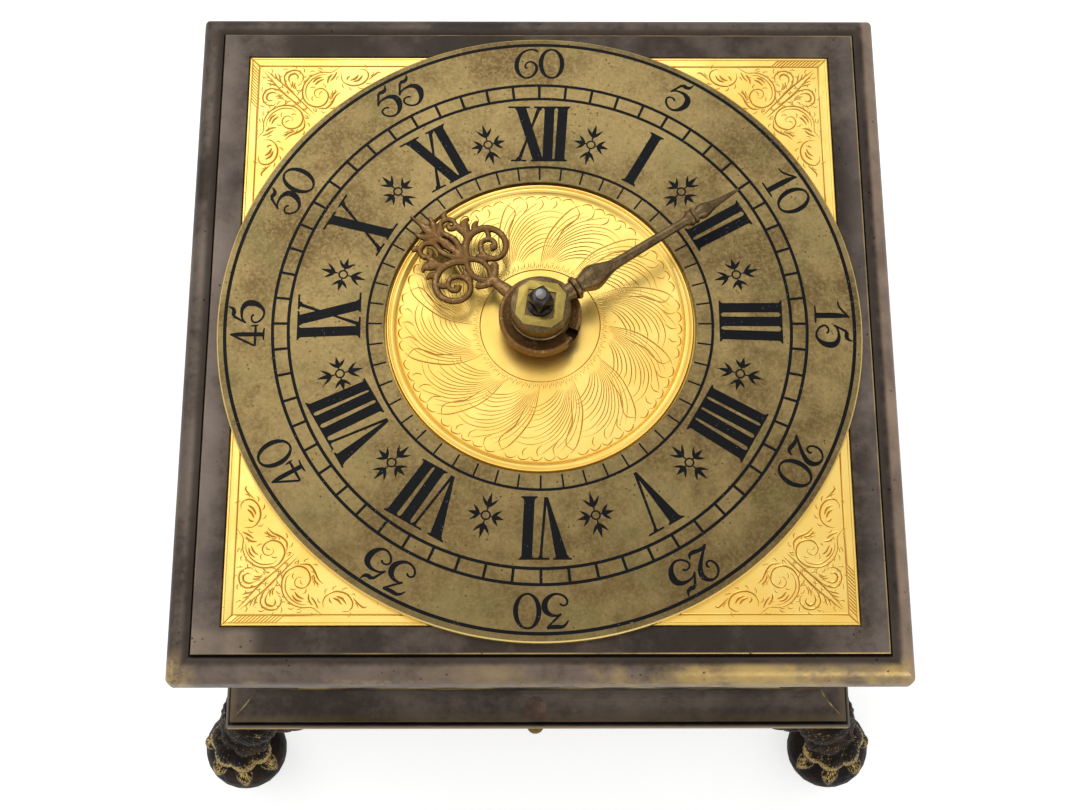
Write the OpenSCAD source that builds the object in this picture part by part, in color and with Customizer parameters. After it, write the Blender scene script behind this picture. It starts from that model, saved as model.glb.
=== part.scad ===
// Horizontal table clock: square glazed case on claw feet, dial on top.
// Millimetres, +Z up, the XII of the dial towards +Y, the front towards -Y.
// The origin lies on the table, under the middle of the dial.

/* [Dial] */
// Side of the square gilt dial plate
dial_w = 112.5; // [111:0.5:116]
// Thickness of the dial plate
dial_t = 2; // [1.4:0.1:2.6]
// Outer radius of the hour ring
ring_r = 59.6; // [58.6:0.1:60.6]
// Radius of the open centre of the hour ring
ring_in_r = 28.8; // [27:0.1:31]
// Thickness of the hour ring
ring_t = 1.6; // [1.2:0.1:2]
// Thickness of the sunk centre disc
disc_t = 0.8; // [0.5:0.1:1.1]
// Width of the raised rim of the centre disc
disc_rim_w = 1.8; // [1:0.1:3]
// Depth of the wax-filled engraving
wax_t = 0.3; // [0.2:0.05:0.5]
// Height of the hour numerals
hour_num_h = 11.6; // [9:0.1:12]
// Radius where the feet of the hour numerals stand
hour_num_r = 33.1; // [32.5:0.1:33.6]
// Width of the thick bars of the hour numerals
bar_w = 1.9; // [1.2:0.05:2]
// Outer radius of the minute track
track_out_r = 49.3; // [48.6:0.1:50.4]
// Width of the minute track between its two circles
track_w = 2.9; // [2:0.1:3.4]
// Width of the engraved circles
circle_w = 0.42; // [0.3:0.02:0.6]
// Radius of the circle that closes the quarter track
quarter_r = 31.8; // [31.4:0.1:32.4]
// Radius of the half-hour marks
half_mark_r = 37.9; // [37:0.1:40]

/* [Hands] */
// Height of the hour hand's plate above the dial plate
hour_hand_z = 4.6; // [4:0.1:5]
// Thickness of the hour hand
hour_hand_t = 1.3; // [0.8:0.1:1.8]
// Length of the hour hand from the centre
hour_hand_l = 31.3; // [28:0.1:34]
// Clock angle of the hour hand at rest
hour_angle = -50.5; // [-180:0.5:180]
// Height of the minute hand's axis above the dial plate
minute_hand_z = 8.9; // [8.6:0.1:9.3]
// Length of the minute hand from the centre
minute_hand_l = 43.8; // [38:0.1:48]
// Clock angle of the minute hand at rest
minute_angle = 57; // [-180:0.5:180]
// Width of the eight-sided collet
collet_w = 8.6; // [8:0.1:10]
// Side of the square on top of the centre arbor
key_square = 3.4; // [3:0.1:3.4]
// Height of the centre arbor above the dial plate
arbor_top = 16.2; // [15:0.1:18]

/* [Top frame] */
// Width of the flat border beside the dial plate
border_w = 5.05; // [4.6:0.05:6]
// Height of the top frame
top_h = 12; // [11:0.5:15]
// Width of the groove between border and roll
groove_w = 0.5; // [0.4:0.1:1.2]
// Radius of the roll round the top frame
roll_r = 3.2; // [2.6:0.1:3.4]
// Depth of the roll's crown below the dial plate
roll_drop = 0.6; // [0.3:0.1:1]
// Height of the straight flank under the roll
roll_flank = 2.4; // [0:0.1:2.8]
// Width of the ledge that carries the dial plate
ledge_w = 3.2; // [2.8:0.1:4]

/* [Case] */
// Height of the glazed walls
wall_h = 41; // [40.5:0.5:50]
// Thickness of the walls
wall_t = 2.4; // [1.8:0.1:2.6]
// Width of the corner posts
post_w = 8.4; // [7.6:0.1:9]
// Width of each window opening
window_w = 76; // [60:1:80]
// Height of each window opening
window_h = 27; // [20:1:31]
// Width of the moulding round each window
bead_w = 2.4; // [1.6:0.1:3]
// Thickness of the window glass
glass_t = 1.5; // [1:0.1:1.8]
// Overlap of the glass behind the wall
glass_lap = 2; // [1.5:0.1:2.6]

/* [Base] */
// Height of the feet
foot_h = 36; // [34:0.5:42]
// Height of the base moulding
base_h = 11; // [10.5:0.5:14]
// Half width of the base at its lower edge
base_half = 64.2; // [63.4:0.1:66]
// Height of the lower edge band
edge_h = 2.2; // [1.6:0.1:2.8]
// Radius of the hollow of the base moulding
hollow_r = 6.2; // [5:0.1:6.6]
// Half width of the bottom door
door_half = 52.3; // [51.5:0.1:52.8]
// Thickness of the bottom door
door_t = 2; // [1.6:0.1:2.4]
// Width of the rebate that the door closes against
rebate_w = 2; // [1.4:0.1:2.4]
// Radius of the hinge knuckles
knuckle_r = 1.6; // [1.3:0.1:2]
// Radius of the hinge pin
hinge_pin_r = 0.8; // [0.6:0.05:1]
// Radius of the latch stud's flush head
plug_r = 2.2; // [1.8:0.1:2.4]
// Thickness of the turn latch
latch_t = 1.2; // [0.9:0.1:1.4]
// Length of the latch's nose
latch_nose = 11; // [10.5:0.5:13]
// Width of the latch's finger tab
tab_w = 3.6; // [3:0.1:4]

/* [Feet] */
// Radius of the ball in each claw
ball_r = 9; // [8:0.1:9.4]
// Distance of each ball from the middle, along X and along Y
foot_at = 63.9; // [63:0.1:65]
// Number of toes on each claw
toe_count = 5; // [3:1:5]
// Angle between two toes
toe_step = 52; // [40:1:56]
// Length of the leaves along the base
leaf_l = 22; // [16:1:26]
// Depth of the leaves at the foot
leaf_h = 10; // [7:0.5:12]

/* [Bell] */
// Radius of the bell's mouth
bell_r = 40; // [34:0.5:40]
// Height of the bell
bell_h = 10.5; // [9:0.5:11]
// Wall of the bell
bell_t = 1.3; // [1:0.1:1.8]

/* [Movement] */
// Clearance between the movement plates and the window frames
plate_clear = 4.05; // [3.4:0.05:5]
// Thickness of the movement plates
plate_t = 2; // [1.6:0.1:2.4]
// Space between the movement plates
plate_gap = 28; // [27.5:0.5:30]
// Space between the dial plate and the upper plate
motion_gap = 6; // [5.8:0.1:7]
// Distance of the pillars from the edges of the movement plates
pillar_inset = 5.5; // [4.5:0.1:6]
// Radius of the pillars at their waist
pillar_r = 2; // [1.6:0.1:2.4]
// Radius of the centre arbor in the movement
centre_r = 1.6; // [1.4:0.05:1.7]
// Radius of the wheels' arbors
arbor_r = 1.1; // [0.8:0.05:1.3]
// Radius of the wheels' pivots
pivot_r = 0.6; // [0.45:0.05:0.7]
// Radius of the winding arbors
winding_r = 2.2; // [1.9:0.1:2.4]

/* [Going train] */
// Tooth size (pitch diameter per tooth) of the great wheel
great_m = 0.75; // [0.74:0.01:0.78]
// Teeth of the great wheel
great_n = 54; // [54:1:54]
// Tooth size of the centre wheel
centre_m = 0.55; // [0.54:0.01:0.56]
// Tooth size of the third wheel
third_m = 0.5; // [0.49:0.01:0.51]
// Tooth size of the contrate wheel
contrate_m = 0.45; // [0.44:0.01:0.46]
// Radius of the going barrel
barrel_r = 17; // [15:0.1:17.4]
// Height of the going barrel
barrel_h = 17.5; // [16:0.1:17.8]
// Radius of the fusee at its foot
fusee_r = 13; // [11:0.1:13.4]
// Radius of the fusee at its top
fusee_top_r = 6.5; // [5.5:0.1:8]
// Diameter of the gut line
gut_d = 0.8; // [0.6:0.05:0.85]
// Radius of the balance
balance_r = 13; // [11:0.1:13.2]
// Radius of the crown wheel
crown_r = 6.2; // [5.6:0.1:6.4]

/* [Striking train] */
// Tooth size of the strike great wheel
strike_m = 0.5; // [0.49:0.01:0.51]
// Tooth size of the pin wheel
pin_m = 0.45; // [0.44:0.01:0.46]
// Tooth size of the locking wheel
lock_m = 0.4; // [0.39:0.01:0.41]
// Radius of the strike barrel
strike_r = 15; // [13:0.1:15.4]
// Radius of the fly's vanes
fly_r = 4.4; // [3.6:0.1:4.6]
// Radius of the count wheel
count_r = 13.5; // [12:0.1:14.5]

/* [Clearances] */
// Radial clearance of a running pivot
run = 0.06; // [0.04:0.01:0.09]
// Radial clearance of a fixed fit
fit = 0.04; // [0.02:0.01:0.08]
// Gap between pieces that move past each other
gap = 0.4; // [0.3:0.05:0.5]
// Gap round the bottom door
door_gap = 0.3; // [0.2:0.05:0.5]

/* [Hidden] */
$fn = 72;
fine = 144;
cut = 1;

// Levels
z_base = foot_h;
z_wall = z_base + base_h;
z_top = z_wall + wall_h;
z_dial = z_top + top_h;
z_ring = z_dial + ring_t;
z_motion = z_dial - dial_t;
z_upper = z_motion - motion_gap - plate_t;
z_lower = z_upper - plate_gap - plate_t;
z_floor = z_lower + plate_t;

// Plan of the case
dial_half = dial_w / 2;
border_half = dial_half + border_w;
roll_at = border_half + 1.5;
ledge_half = dial_half - ledge_w;
wall_in = dial_half - wall_t;
post_at = dial_half + 0.9 - post_w / 2;
post_in = post_at - post_w / 2;
cap_h = 3;
reach = base_half + foot_h;
pane_lip = 0.8;
z_roll = z_dial - roll_drop - roll_r;
groove_deep = roll_drop + 0.35;
base_in = door_half - rebate_w;
z_door = z_base + 0.1;
hollow_half = base_half - 1;
z_hollow = z_base + edge_h + 1.6;
window_z = z_wall + wall_h / 2 - 0.5;
frame_bead_t = 1;
stud_at = base_half - 7;
stud_r = 1.6;
stud_deep = 4.5;
stud_low = 7;
rod_r = 1.3;

// Door and bell
hinge_y = door_half + door_gap / 2;
hinge_z = z_base - 0.6;
knuckles = [[-38, -30], [-29.7, -16], [-15.7, 15.7], [16, 29.7], [30, 38]];
z_door_top = z_door + door_t;
bell_post_r = 2.5;
bell_screw_r = 1.5;
z_bell = z_door_top + 2.6;
z_bell_top = z_bell + bell_h;
bell_sphere_r = (bell_r * bell_r + bell_h * bell_h) / (2 * bell_h);
latch_xy = [-0.6, -(base_half - 3.4)];
latch_pin_r = 1.1;
tab_l = 2.4;
z_latch = z_base - 0.3 - latch_t;
z_plug = z_base + 2;

// Numerals
ROMAN = ["I", "II", "III", "IIII", "V", "VI", "VII", "VIII", "IX", "X", "XI", "XII"];
serif_h = 0.45;
thin_w = 0.55;

// Hands: heights and bores
pipe_r = 3.2;
hour_pipe_r = 4.3;
hour_boss_r = 7.6;
minute_boss_r = 5.2;
neck_r = 2.4;
z_hour = z_dial + hour_hand_z;
z_minute = z_dial + minute_hand_z;
hour_boss_h = 2.2;
minute_boss_h = 3.2;
z_hour_boss = z_hour - 0.4;
z_minute_boss = z_minute - minute_boss_h / 2;
z_collet = z_minute_boss + minute_boss_h;
collet_h = 1;
collet_hole = 5.1;
collet_turn = -41;
arbor_turn = 2;
z_arbor = z_dial + arbor_top;

// Teeth: half widths as a share of the pitch, and heights in tooth sizes
wheel_tooth = [0.25, 0.2, 0.07];
leaf_tooth = [0.2, 0.17, 0.06];
tip_m = 0.75;
root_m = 1.1;

// Motion work
cannon_n = 12;
minute_n = 36;
minute_leaf_n = 10;
hour_n = 40;
cannon_m = 0.5;
motion_d = cannon_m * (cannon_n + minute_n) / 2;
hour_m = 2 * motion_d / (minute_leaf_n + hour_n);
motion_at = 200;
z_cannon = z_motion - motion_gap + 0.6;
z_hour_wheel = z_cannon + 3;
hour_wheel_t = 1.1;

// The movement fills its plates: its sizes are stated for plates 95 wide
plate_half = wall_in - glass_t - pane_lip - plate_clear;
plate_w = 2 * plate_half;
pillar_at = plate_half - pillar_inset;
train = plate_half / 47.5;
m_great = great_m * train;
m_centre = centre_m * train;
m_third = third_m * train;
m_contrate = contrate_m * train;
m_strike = strike_m * train;
m_pin = pin_m * train;
m_lock = lock_m * train;
r_barrel = barrel_r * train;
r_fusee = fusee_r * train;
r_fusee_top = fusee_top_r * train;
r_balance = balance_r * train;
r_crown = crown_r * train;
r_strike = strike_r * train;
r_fly = fly_r * train;
r_count = count_r * train;

// Going train
pinion_n = 8;
centre_leaf_n = 9;
centre_n = 60;
third_n = 48;
contrate_n = 48;
fusee_at = -45;
third_at = 62;
contrate_at = -8;
fusee_d = m_great * (great_n + centre_leaf_n) / 2;
third_d = m_centre * (centre_n + pinion_n) / 2;
contrate_d = m_third * (third_n + pinion_n) / 2;
fusee_xy = on_circle(fusee_d, fusee_at);
third_xy = on_circle(third_d, third_at);
contrate_xy = third_xy + on_circle(contrate_d, contrate_at);
barrel_xy = [-19.5, -19.5] * train;
z_great = z_floor + 1;
great_t = 1.7;
z_barrel = z_great + great_t + 1.6;
z_fusee = z_great + great_t;
fusee_h = 18.5;
fusee_grooves = 10;
z_centre_wheel = z_upper - 4.8;
wheel_t = 1.1;
z_third = z_floor + 4;
z_contrate = z_floor + 10;
contrate_rim = 3.4;
contrate_r = m_contrate * contrate_n / 2;
crown_leaf_r = m_contrate * pinion_n / 2;
crown_z = z_contrate + contrate_rim - tip_m * m_contrate + crown_leaf_r;
crown_leaf_y = contrate_xy[1] + contrate_r;
crown_wheel_y = crown_leaf_y + 4.4;
crown_rim = 3.2;
crown_n = 17;
verge_y = crown_wheel_y + crown_rim + 1.3;
verge_r = 0.8;
z_balance = z_lower - 3.6;
balance_t = 1.2;
cock_t = 1.2;
z_cock = z_balance - 2.8;

// Striking train
strike_n = 72;
pin_n = 56;
lock_n = 48;
strike_xy = [-20.5, 16] * train;
strike_d = m_strike * (strike_n + pinion_n) / 2;
pin_d = m_pin * (pin_n + pinion_n) / 2;
lock_d = m_lock * (lock_n + pinion_n) / 2;
pin_at = 60;
lock_at = 20;
fly_at = 20;
pin_xy = strike_xy + on_circle(strike_d, pin_at);
lock_xy = pin_xy + on_circle(pin_d, lock_at);
fly_xy = lock_xy + on_circle(lock_d, fly_at);
z_strike = z_floor + 1;
strike_h = 12.5;
z_pin = z_floor + 17.6;
pin_r = 10.2 * train;
z_lock = z_floor + 8;
z_fly = z_floor + 12;
fly_h = 9;
z_count = z_lower - 2;
hammer_xy = [-36, 35] * train;
hammer_head = [-41, 14.9] * train;

// The gut line: from the fusee's foot up to half way, then to the barrel
gut_steps = 24;
gut_r = gut_d / 2;
gut_fusee_turns = 4;
gut_barrel_turns = 5;
gut_pitch = 1.4;
z_gut = z_fusee + 1.6 + gut_fusee_turns * gut_pitch + 0.6;
gut_span = barrel_xy - fusee_xy;
gut_fusee_r = fusee_radius(z_gut) + gap + gut_r;
gut_barrel_r = r_barrel + gap + gut_r;
gut_angle = atan2(gut_span[1], gut_span[0])
    + acos((gut_fusee_r - gut_barrel_r) / norm(gut_span));

function on_circle(r, a) = [r * cos(a), r * sin(a)];
function clock(a) = 90 - a;
function fusee_radius(z) = r_fusee - (r_fusee - r_fusee_top) * (z - z_fusee) / fusee_h;

// Angle that sets wheel b in mesh with wheel a, in the direction d from a to b
function mesh(d, a, na, nb) = d + 180 - (0.5 - (d - a) * na / 360) * 360 / nb;

great_phase = mesh(fusee_at, 0, centre_leaf_n, great_n);
third_leaf_phase = mesh(third_at, 0, centre_n, pinion_n);
contrate_leaf_phase = mesh(contrate_at, 0, third_n, pinion_n);
contrate_phase = 90 - 180 / contrate_n;
minute_phase = mesh(motion_at, clock(minute_angle), cannon_n, minute_n);
hour_phase = mesh(motion_at + 180, 0, minute_leaf_n, hour_n);
pin_leaf_phase = mesh(pin_at, 0, strike_n, pinion_n);
lock_leaf_phase = mesh(lock_at, 0, pin_n, pinion_n);
fly_leaf_phase = mesh(fly_at, 0, lock_n, pinion_n);

module at(xy, z = 0) { translate([xy[0], xy[1], z]) children(); }

module pipe(r, bore, h) {
    difference() {
        cylinder(r = r, h = h);
        translate([0, 0, -cut]) cylinder(r = bore, h = h + 2 * cut);
    }
}

// A block centred in plan and standing on its lower face
module slab(x, y, h) { translate([-x / 2, -y / 2, 0]) cube([x, y, h]); }

// A square moulding with mitred corners, from one outline across the case
module mitred() {
    intersection() {
        rotate([90, 0, 0]) linear_extrude(2 * reach, center = true) children();
        rotate([90, 0, 90]) linear_extrude(2 * reach, center = true) children();
    }
}

module band(half, low, high) { translate([-half, low]) square([2 * half, high - low]); }

// Case

module top_outline() {
    cove_r = 3.6;
    cove_half = border_half + 0.4;
    band(border_half, z_top, z_dial);
    band(roll_at, z_roll - roll_flank - roll_r, z_roll + roll_r);
    band(roll_at + roll_r, z_roll - roll_flank, z_roll);
    for (s = [-1, 1], drop = [0, roll_flank])
        translate([s * roll_at, z_roll - drop]) circle(r = roll_r);
    difference() {
        band(cove_half, z_top, z_roll);
        for (s = [-1, 1]) translate([s * cove_half, z_top - 0.2]) circle(r = cove_r);
    }
}

module top_frame() {
    color([0.36, 0.32, 0.29]) difference() {
        mitred() top_outline();
        difference() {
            translate([0, 0, z_dial - groove_deep]) slab(2 * (border_half + groove_w),
                2 * (border_half + groove_w), groove_deep + cut);
            translate([0, 0, z_dial - groove_deep - cut])
                slab(2 * border_half, 2 * border_half, groove_deep + 3 * cut);
        }
        translate([0, 0, z_motion]) slab(dial_w + 2 * fit, dial_w + 2 * fit, dial_t + cut);
        translate([0, 0, z_top - cut]) slab(2 * ledge_half, 2 * ledge_half, top_h + 2 * cut);
        rod_places() translate([0, 0, z_top - cut]) cylinder(r = rod_r + fit, h = 5 + cut);
        dial_screw_places() translate([0, 0, z_motion - 6 - fit]) cylinder(r = 1 + fit, h = 8);
    }
}

module rod_places() {
    for (x = [-1, 1], y = [-1, 1]) translate([x * post_at, y * post_at, 0]) children();
}

module dial_screw_places() {
    for (a = [0 : 90 : 270]) rotate(a) translate([dial_half - ledge_w / 2, 0, 0]) children();
}

// A wall lies along X with its outer face towards -Y
module wall() {
    len = 2 * post_in;
    color([0.42, 0.37, 0.31]) difference() {
        union() {
            translate([0, -dial_half + wall_t / 2, z_wall]) slab(len, wall_t, wall_h);
            translate([0, -dial_half - frame_bead_t / 2 + 0.1, window_z - window_h / 2 - bead_w])
                slab(window_w + 2 * bead_w, frame_bead_t + 0.2, window_h + 2 * bead_w);
            translate([0, -dial_half, window_z - window_h / 2 - bead_w / 2]) bead_bar();
            translate([0, -dial_half, window_z + window_h / 2 + bead_w / 2]) bead_bar();
        }
        translate([0, -dial_half, window_z - window_h / 2]) slab(window_w, 4 * wall_t, window_h);
    }
}

// The round moulding above and below a window
module bead_bar() {
    rotate([0, 90, 0]) cylinder(r = bead_w / 2 + 0.3, h = window_w + 2 * bead_w, center = true);
}

module wall_front() { wall(); }
module wall_right() { rotate(90) wall(); }
module wall_back() { rotate(180) wall(); }
module wall_left() { rotate(270) wall(); }

module corner_posts() {
    flute_r = 1.1;
    color([0.5, 0.43, 0.3]) for (x = [-1, 1], y = [-1, 1])
        translate([x * post_at, y * post_at, z_wall]) difference() {
            union() {
                slab(post_w, post_w, wall_h);
                translate([x * 0.35, y * 0.35, 0]) {
                    slab(post_w + 0.7, post_w + 0.7, cap_h);
                    translate([0, 0, wall_h - cap_h]) slab(post_w + 0.7, post_w + 0.7, cap_h);
                }
            }
            translate([0, 0, -cut]) cylinder(r = rod_r + fit, h = wall_h + 2 * cut);
            for (p = [-1, 1]) {
                translate([x * post_w / 2, p * 2, cap_h + 1])
                    cylinder(r = flute_r, h = wall_h - 2 * cap_h - 2);
                translate([p * 2, y * post_w / 2, cap_h + 1])
                    cylinder(r = flute_r, h = wall_h - 2 * cap_h - 2);
            }
        }
}

module post_rods() {
    color([0.4, 0.4, 0.42]) rod_places() translate([0, 0, z_wall - 5 + fit])
        cylinder(r = rod_r, h = wall_h + 10 - 2 * fit);
}

module window_panes() {
    color([0.8, 0.88, 0.9, 0.4]) for (a = [0 : 90 : 270]) rotate(a)
        translate([0, -wall_in + glass_t / 2, window_z - window_h / 2 - glass_lap])
            slab(window_w + 2 * glass_lap, glass_t, window_h + 2 * glass_lap);
}

// Thin frames behind the glass, with their edges on the walls
module pane_frames() {
    side = 1.6;
    frame_w = window_w + 2 * glass_lap;
    frame_h = window_h + 2 * glass_lap;
    deep = glass_t + pane_lip;
    color([0.6, 0.5, 0.25]) for (a = [0 : 90 : 270]) rotate(a) difference() {
        translate([0, -wall_in + deep / 2, window_z - frame_h / 2 - side])
            slab(frame_w + 2 * side, deep, frame_h + 2 * side);
        translate([0, -wall_in + glass_t / 2 - cut, window_z - frame_h / 2 - fit])
            slab(frame_w + 2 * fit, glass_t + 2 * cut, frame_h + 2 * fit);
        translate([0, -wall_in, window_z - window_h / 2])
            slab(window_w, 4 * deep, window_h);
    }
}

module base_outline() {
    cap_half = hollow_half + 0.4 - hollow_r + 0.3;
    band(base_half, z_base, z_base + edge_h);
    band(hollow_half, z_base, z_hollow);
    difference() {
        band(hollow_half + 0.4, z_hollow - 0.2, z_wall);
        for (s = [-1, 1]) translate([s * (hollow_half + 0.4), z_hollow + hollow_r])
            circle(r = hollow_r);
        for (s = [-1, 1]) translate([s * (hollow_half + 0.4), z_hollow + hollow_r])
            translate([-hollow_r, 0]) square([2 * hollow_r, base_h]);
    }
    band(cap_half, z_wall - 2, z_wall);
}

module base_frame() {
    color([0.3, 0.27, 0.24]) difference() {
        mitred() base_outline();
        translate([0, 0, z_base - cut]) slab(2 * base_in, 2 * base_in, base_h + 2 * cut);
        translate([0, 0, z_base - cut]) slab(2 * (door_half + door_gap),
            2 * (door_half + door_gap), z_door_top + door_gap - z_base + cut);
        rod_places() translate([0, 0, z_wall - 5]) cylinder(r = rod_r + fit, h = 5 + cut);
        stud_places() translate([0, 0, z_base - cut])
            cylinder(r = stud_r + fit, h = stud_deep + fit + cut);
        at(latch_xy, z_base - cut) cylinder(r = latch_pin_r + fit, h = base_h);
        at(latch_xy, z_plug) cylinder(r = plug_r + fit, h = base_h);
        for (k = [1, 3]) knuckle_space(k);
        hinge_bore();
    }
    color([0.3, 0.27, 0.24]) for (k = [0, 2, 4]) difference() {
        knuckle(k, hinge_y + knuckle_r + 1);
        hinge_bore();
    }
}

// A hinge knuckle with the tongue that joins it to its plate
module knuckle(k, tongue_y) {
    x = knuckles[k][0];
    len = knuckles[k][1] - x;
    translate([x, hinge_y, hinge_z]) rotate([0, 90, 0]) cylinder(r = knuckle_r, h = len);
    translate([x, min(hinge_y, tongue_y), hinge_z - knuckle_r])
        cube([len, abs(tongue_y - hinge_y), z_base - hinge_z + knuckle_r]);
}

module knuckle_space(k) {
    x = knuckles[k][0] - door_gap;
    len = knuckles[k][1] - knuckles[k][0] + 2 * door_gap;
    translate([x, hinge_y, hinge_z]) rotate([0, 90, 0])
        cylinder(r = knuckle_r + door_gap, h = len);
}

module hinge_bore() {
    translate([-reach, hinge_y, hinge_z]) rotate([0, 90, 0])
        cylinder(r = hinge_pin_r + run, h = 2 * reach);
}

module door_hinge_pin() {
    ends = knuckles[4][1] + 0.6;
    color([0.35, 0.35, 0.37]) translate([-ends, hinge_y, hinge_z]) rotate([0, 90, 0])
        cylinder(r = hinge_pin_r, h = 2 * ends);
}

// Feet

module stud_places() {
    for (x = [-1, 1], y = [-1, 1]) translate([x * stud_at, y * stud_at, 0]) children();
}

module foot_studs() {
    color([0.45, 0.4, 0.3]) stud_places() translate([0, 0, z_base - stud_low + fit])
        cylinder(r = stud_r, h = stud_low + stud_deep - fit);
}

// Leaf along the underside of the base, from the foot towards +X
module leaf() {
    thick = 5;
    rotate([90, 0, 0]) linear_extrude(thick, center = true) difference() {
        translate([0, z_base - leaf_h]) square([leaf_l, leaf_h]);
        translate([leaf_l + 3, z_base - leaf_h - 12.2]) circle(r = leaf_h + 11, $fn = fine);
    }
}

// The claw is one surface round a leaning stem: a ball, the toes on it, ankle and knee
toe_angles = [for (i = [0 : toe_count - 1]) (i - (toe_count - 1) / 2) * toe_step];
foot_rings = 21;
foot_sides = 30;
function bump(x, middle, wide) = exp(-pow((x - middle) / wide, 2));
function apart(a, b) = abs((a - b + 540) % 360 - 180);
function ball_at(z) = let (h = z - ball_r + 0.3) sqrt(max(0.01, ball_r * ball_r - h * h));
function toe_at(z) = lookup(z, [[0, 0], [3.6, ball_r - 1.4], [9, ball_r + 0.5],
    [14.5, ball_r + 0.3], [18, ball_r - 0.8], [foot_h - 14, ball_r - 2.6], [foot_h - 12, 0]]);
function stem_at(z) = lookup(z, [[10, 0], [14, 4], [foot_h - 16, 5.8], [foot_h - 12, 6.2],
    [foot_h - 6, 8.2], [foot_h, 8.8]]);
function claw_r(z, a) =
    let (body = max(ball_at(z), stem_at(z)), lift = max(0, toe_at(z) - body),
        near = min([for (t = toe_angles) apart(a, t)]))
    body + lift * bump(near, 0, 15);
function claw_lean(z) = -6.4 * pow(max(0, z - 14) / (foot_h - 14), 1.4);

module claw() {
    n = foot_sides;
    points = [for (i = [0 : foot_rings - 1]) let (z = foot_h * i / (foot_rings - 1))
        for (k = [0 : n - 1]) let (a = k * 360 / n, r = claw_r(z, a))
            [r * cos(a) + claw_lean(z), r * sin(a), z]];
    walls = [for (i = [0 : foot_rings - 2], k = [0 : n - 1]) let (a = i * n + k,
        b = i * n + (k + 1) % n) each [[a, b + n, b], [a, a + n, b + n]]];
    low = [for (k = [1 : n - 2]) [0, k, k + 1]];
    top = (foot_rings - 1) * n;
    high = [for (k = [1 : n - 2]) [top, top + k + 1, top + k]];
    polyhedron(points, concat(walls, low, high));
}

// A foot stands under the corner in the direction of +X and +Y
module foot() {
    leaf_at = foot_at - 3;
    color([0.2, 0.17, 0.14]) difference() {
        union() {
            translate([foot_at, foot_at, 0]) rotate([0, 0, 45]) claw();
            translate([leaf_at, foot_at - 3.4, 0]) rotate(180) leaf();
            translate([foot_at - 3.4, leaf_at, 0]) rotate(270) leaf();
        }
        translate([stud_at, stud_at, z_base - stud_low])
            cylinder(r = stud_r + 0.2, h = stud_low + cut);
    }
}

module foot_back_right() { foot(); }
module foot_back_left() { mirror([1, 0, 0]) foot(); }
module foot_front_right() { mirror([0, 1, 0]) foot(); }
module foot_front_left() { rotate(180) foot(); }

// Door, latch and bell

module bottom_door() {
    color([0.55, 0.47, 0.28]) difference() {
        union() {
            translate([0, 0, z_door]) slab(2 * door_half, 2 * door_half, door_t);
            for (k = [1, 3]) knuckle(k, hinge_y - knuckle_r - 2);
        }
        for (k = [0, 2, 4]) knuckle_space(k);
        hinge_bore();
        translate([0, 0, z_door - cut]) cylinder(r = bell_screw_r + fit, h = door_t + 2 * cut);
    }
}

module bell_post() {
    color([0.5, 0.45, 0.3]) {
        translate([0, 0, z_door_top]) cylinder(r = bell_post_r,
            h = z_bell_top - bell_t - z_door_top);
        translate([0, 0, z_door - 0.1]) cylinder(r = bell_screw_r, h = z_bell_top + 3 - z_door);
    }
}

module bell() {
    centre_z = z_bell_top - bell_sphere_r;
    color([0.72, 0.62, 0.36]) difference() {
        translate([0, 0, centre_z]) sphere(r = bell_sphere_r, $fn = fine);
        translate([0, 0, centre_z]) sphere(r = bell_sphere_r - bell_t, $fn = fine);
        translate([0, 0, z_bell - reach]) slab(3 * reach, 3 * reach, reach);
        translate([0, 0, z_bell - 3 * reach]) slab(3 * reach, 3 * reach, 2.5 * reach);
        translate([0, 0, z_bell - cut]) cylinder(r = bell_screw_r + fit, h = bell_h + 2 * cut);
        translate([0, 0, z_bell - cut]) cylinder(r = bell_post_r, h = bell_h - bell_t + cut);
    }
}

module bell_nut() {
    color([0.4, 0.4, 0.42]) translate([0, 0, z_bell_top]) difference() {
        cylinder(r = 3.2, h = 2.2, $fn = 6);
        translate([0, 0, -cut]) cylinder(r = bell_screw_r + fit, h = 4 + cut);
    }
}

// The latch turns under the front of the base; its nose then holds the door
module latch() {
    nose_w = 4;
    boss_r = 3;
    color([0.6, 0.52, 0.34]) at(latch_xy, z_latch) difference() {
        union() {
            cylinder(r = boss_r, h = latch_t);
            translate([0, -nose_w / 2, 0]) cube([latch_nose - nose_w / 2, nose_w, latch_t]);
            translate([latch_nose - nose_w / 2, 0, 0]) cylinder(r = nose_w / 2, h = latch_t);
            translate([-tab_w / 2, -tab_l, 0]) cube([tab_w, tab_l, latch_t]);
            translate([0, -tab_l, 0]) cylinder(r = tab_w / 2, h = latch_t);
        }
        translate([0, 0, -cut]) cylinder(r = latch_pin_r + run, h = latch_t + 2 * cut);
    }
}

// The stud is riveted under the latch and filed flush with the hollow of the base
module latch_stud() {
    rivet_h = 0.7;
    z_rivet = z_latch - 0.3 - rivet_h;
    color([0.45, 0.42, 0.38]) difference() {
        union() {
            at(latch_xy, z_rivet) cylinder(r = latch_pin_r + 1, h = rivet_h);
            at(latch_xy, z_rivet) cylinder(r = latch_pin_r, h = z_plug + 1 - z_rivet);
            at(latch_xy, z_plug + fit) cylinder(r = plug_r, h = base_h - 4);
        }
        translate([0, -hollow_half - 0.4, z_hollow + hollow_r]) rotate([0, 90, 0])
            cylinder(r = hollow_r, h = 4 * plug_r, center = true);
    }
}

// Dial

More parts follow.
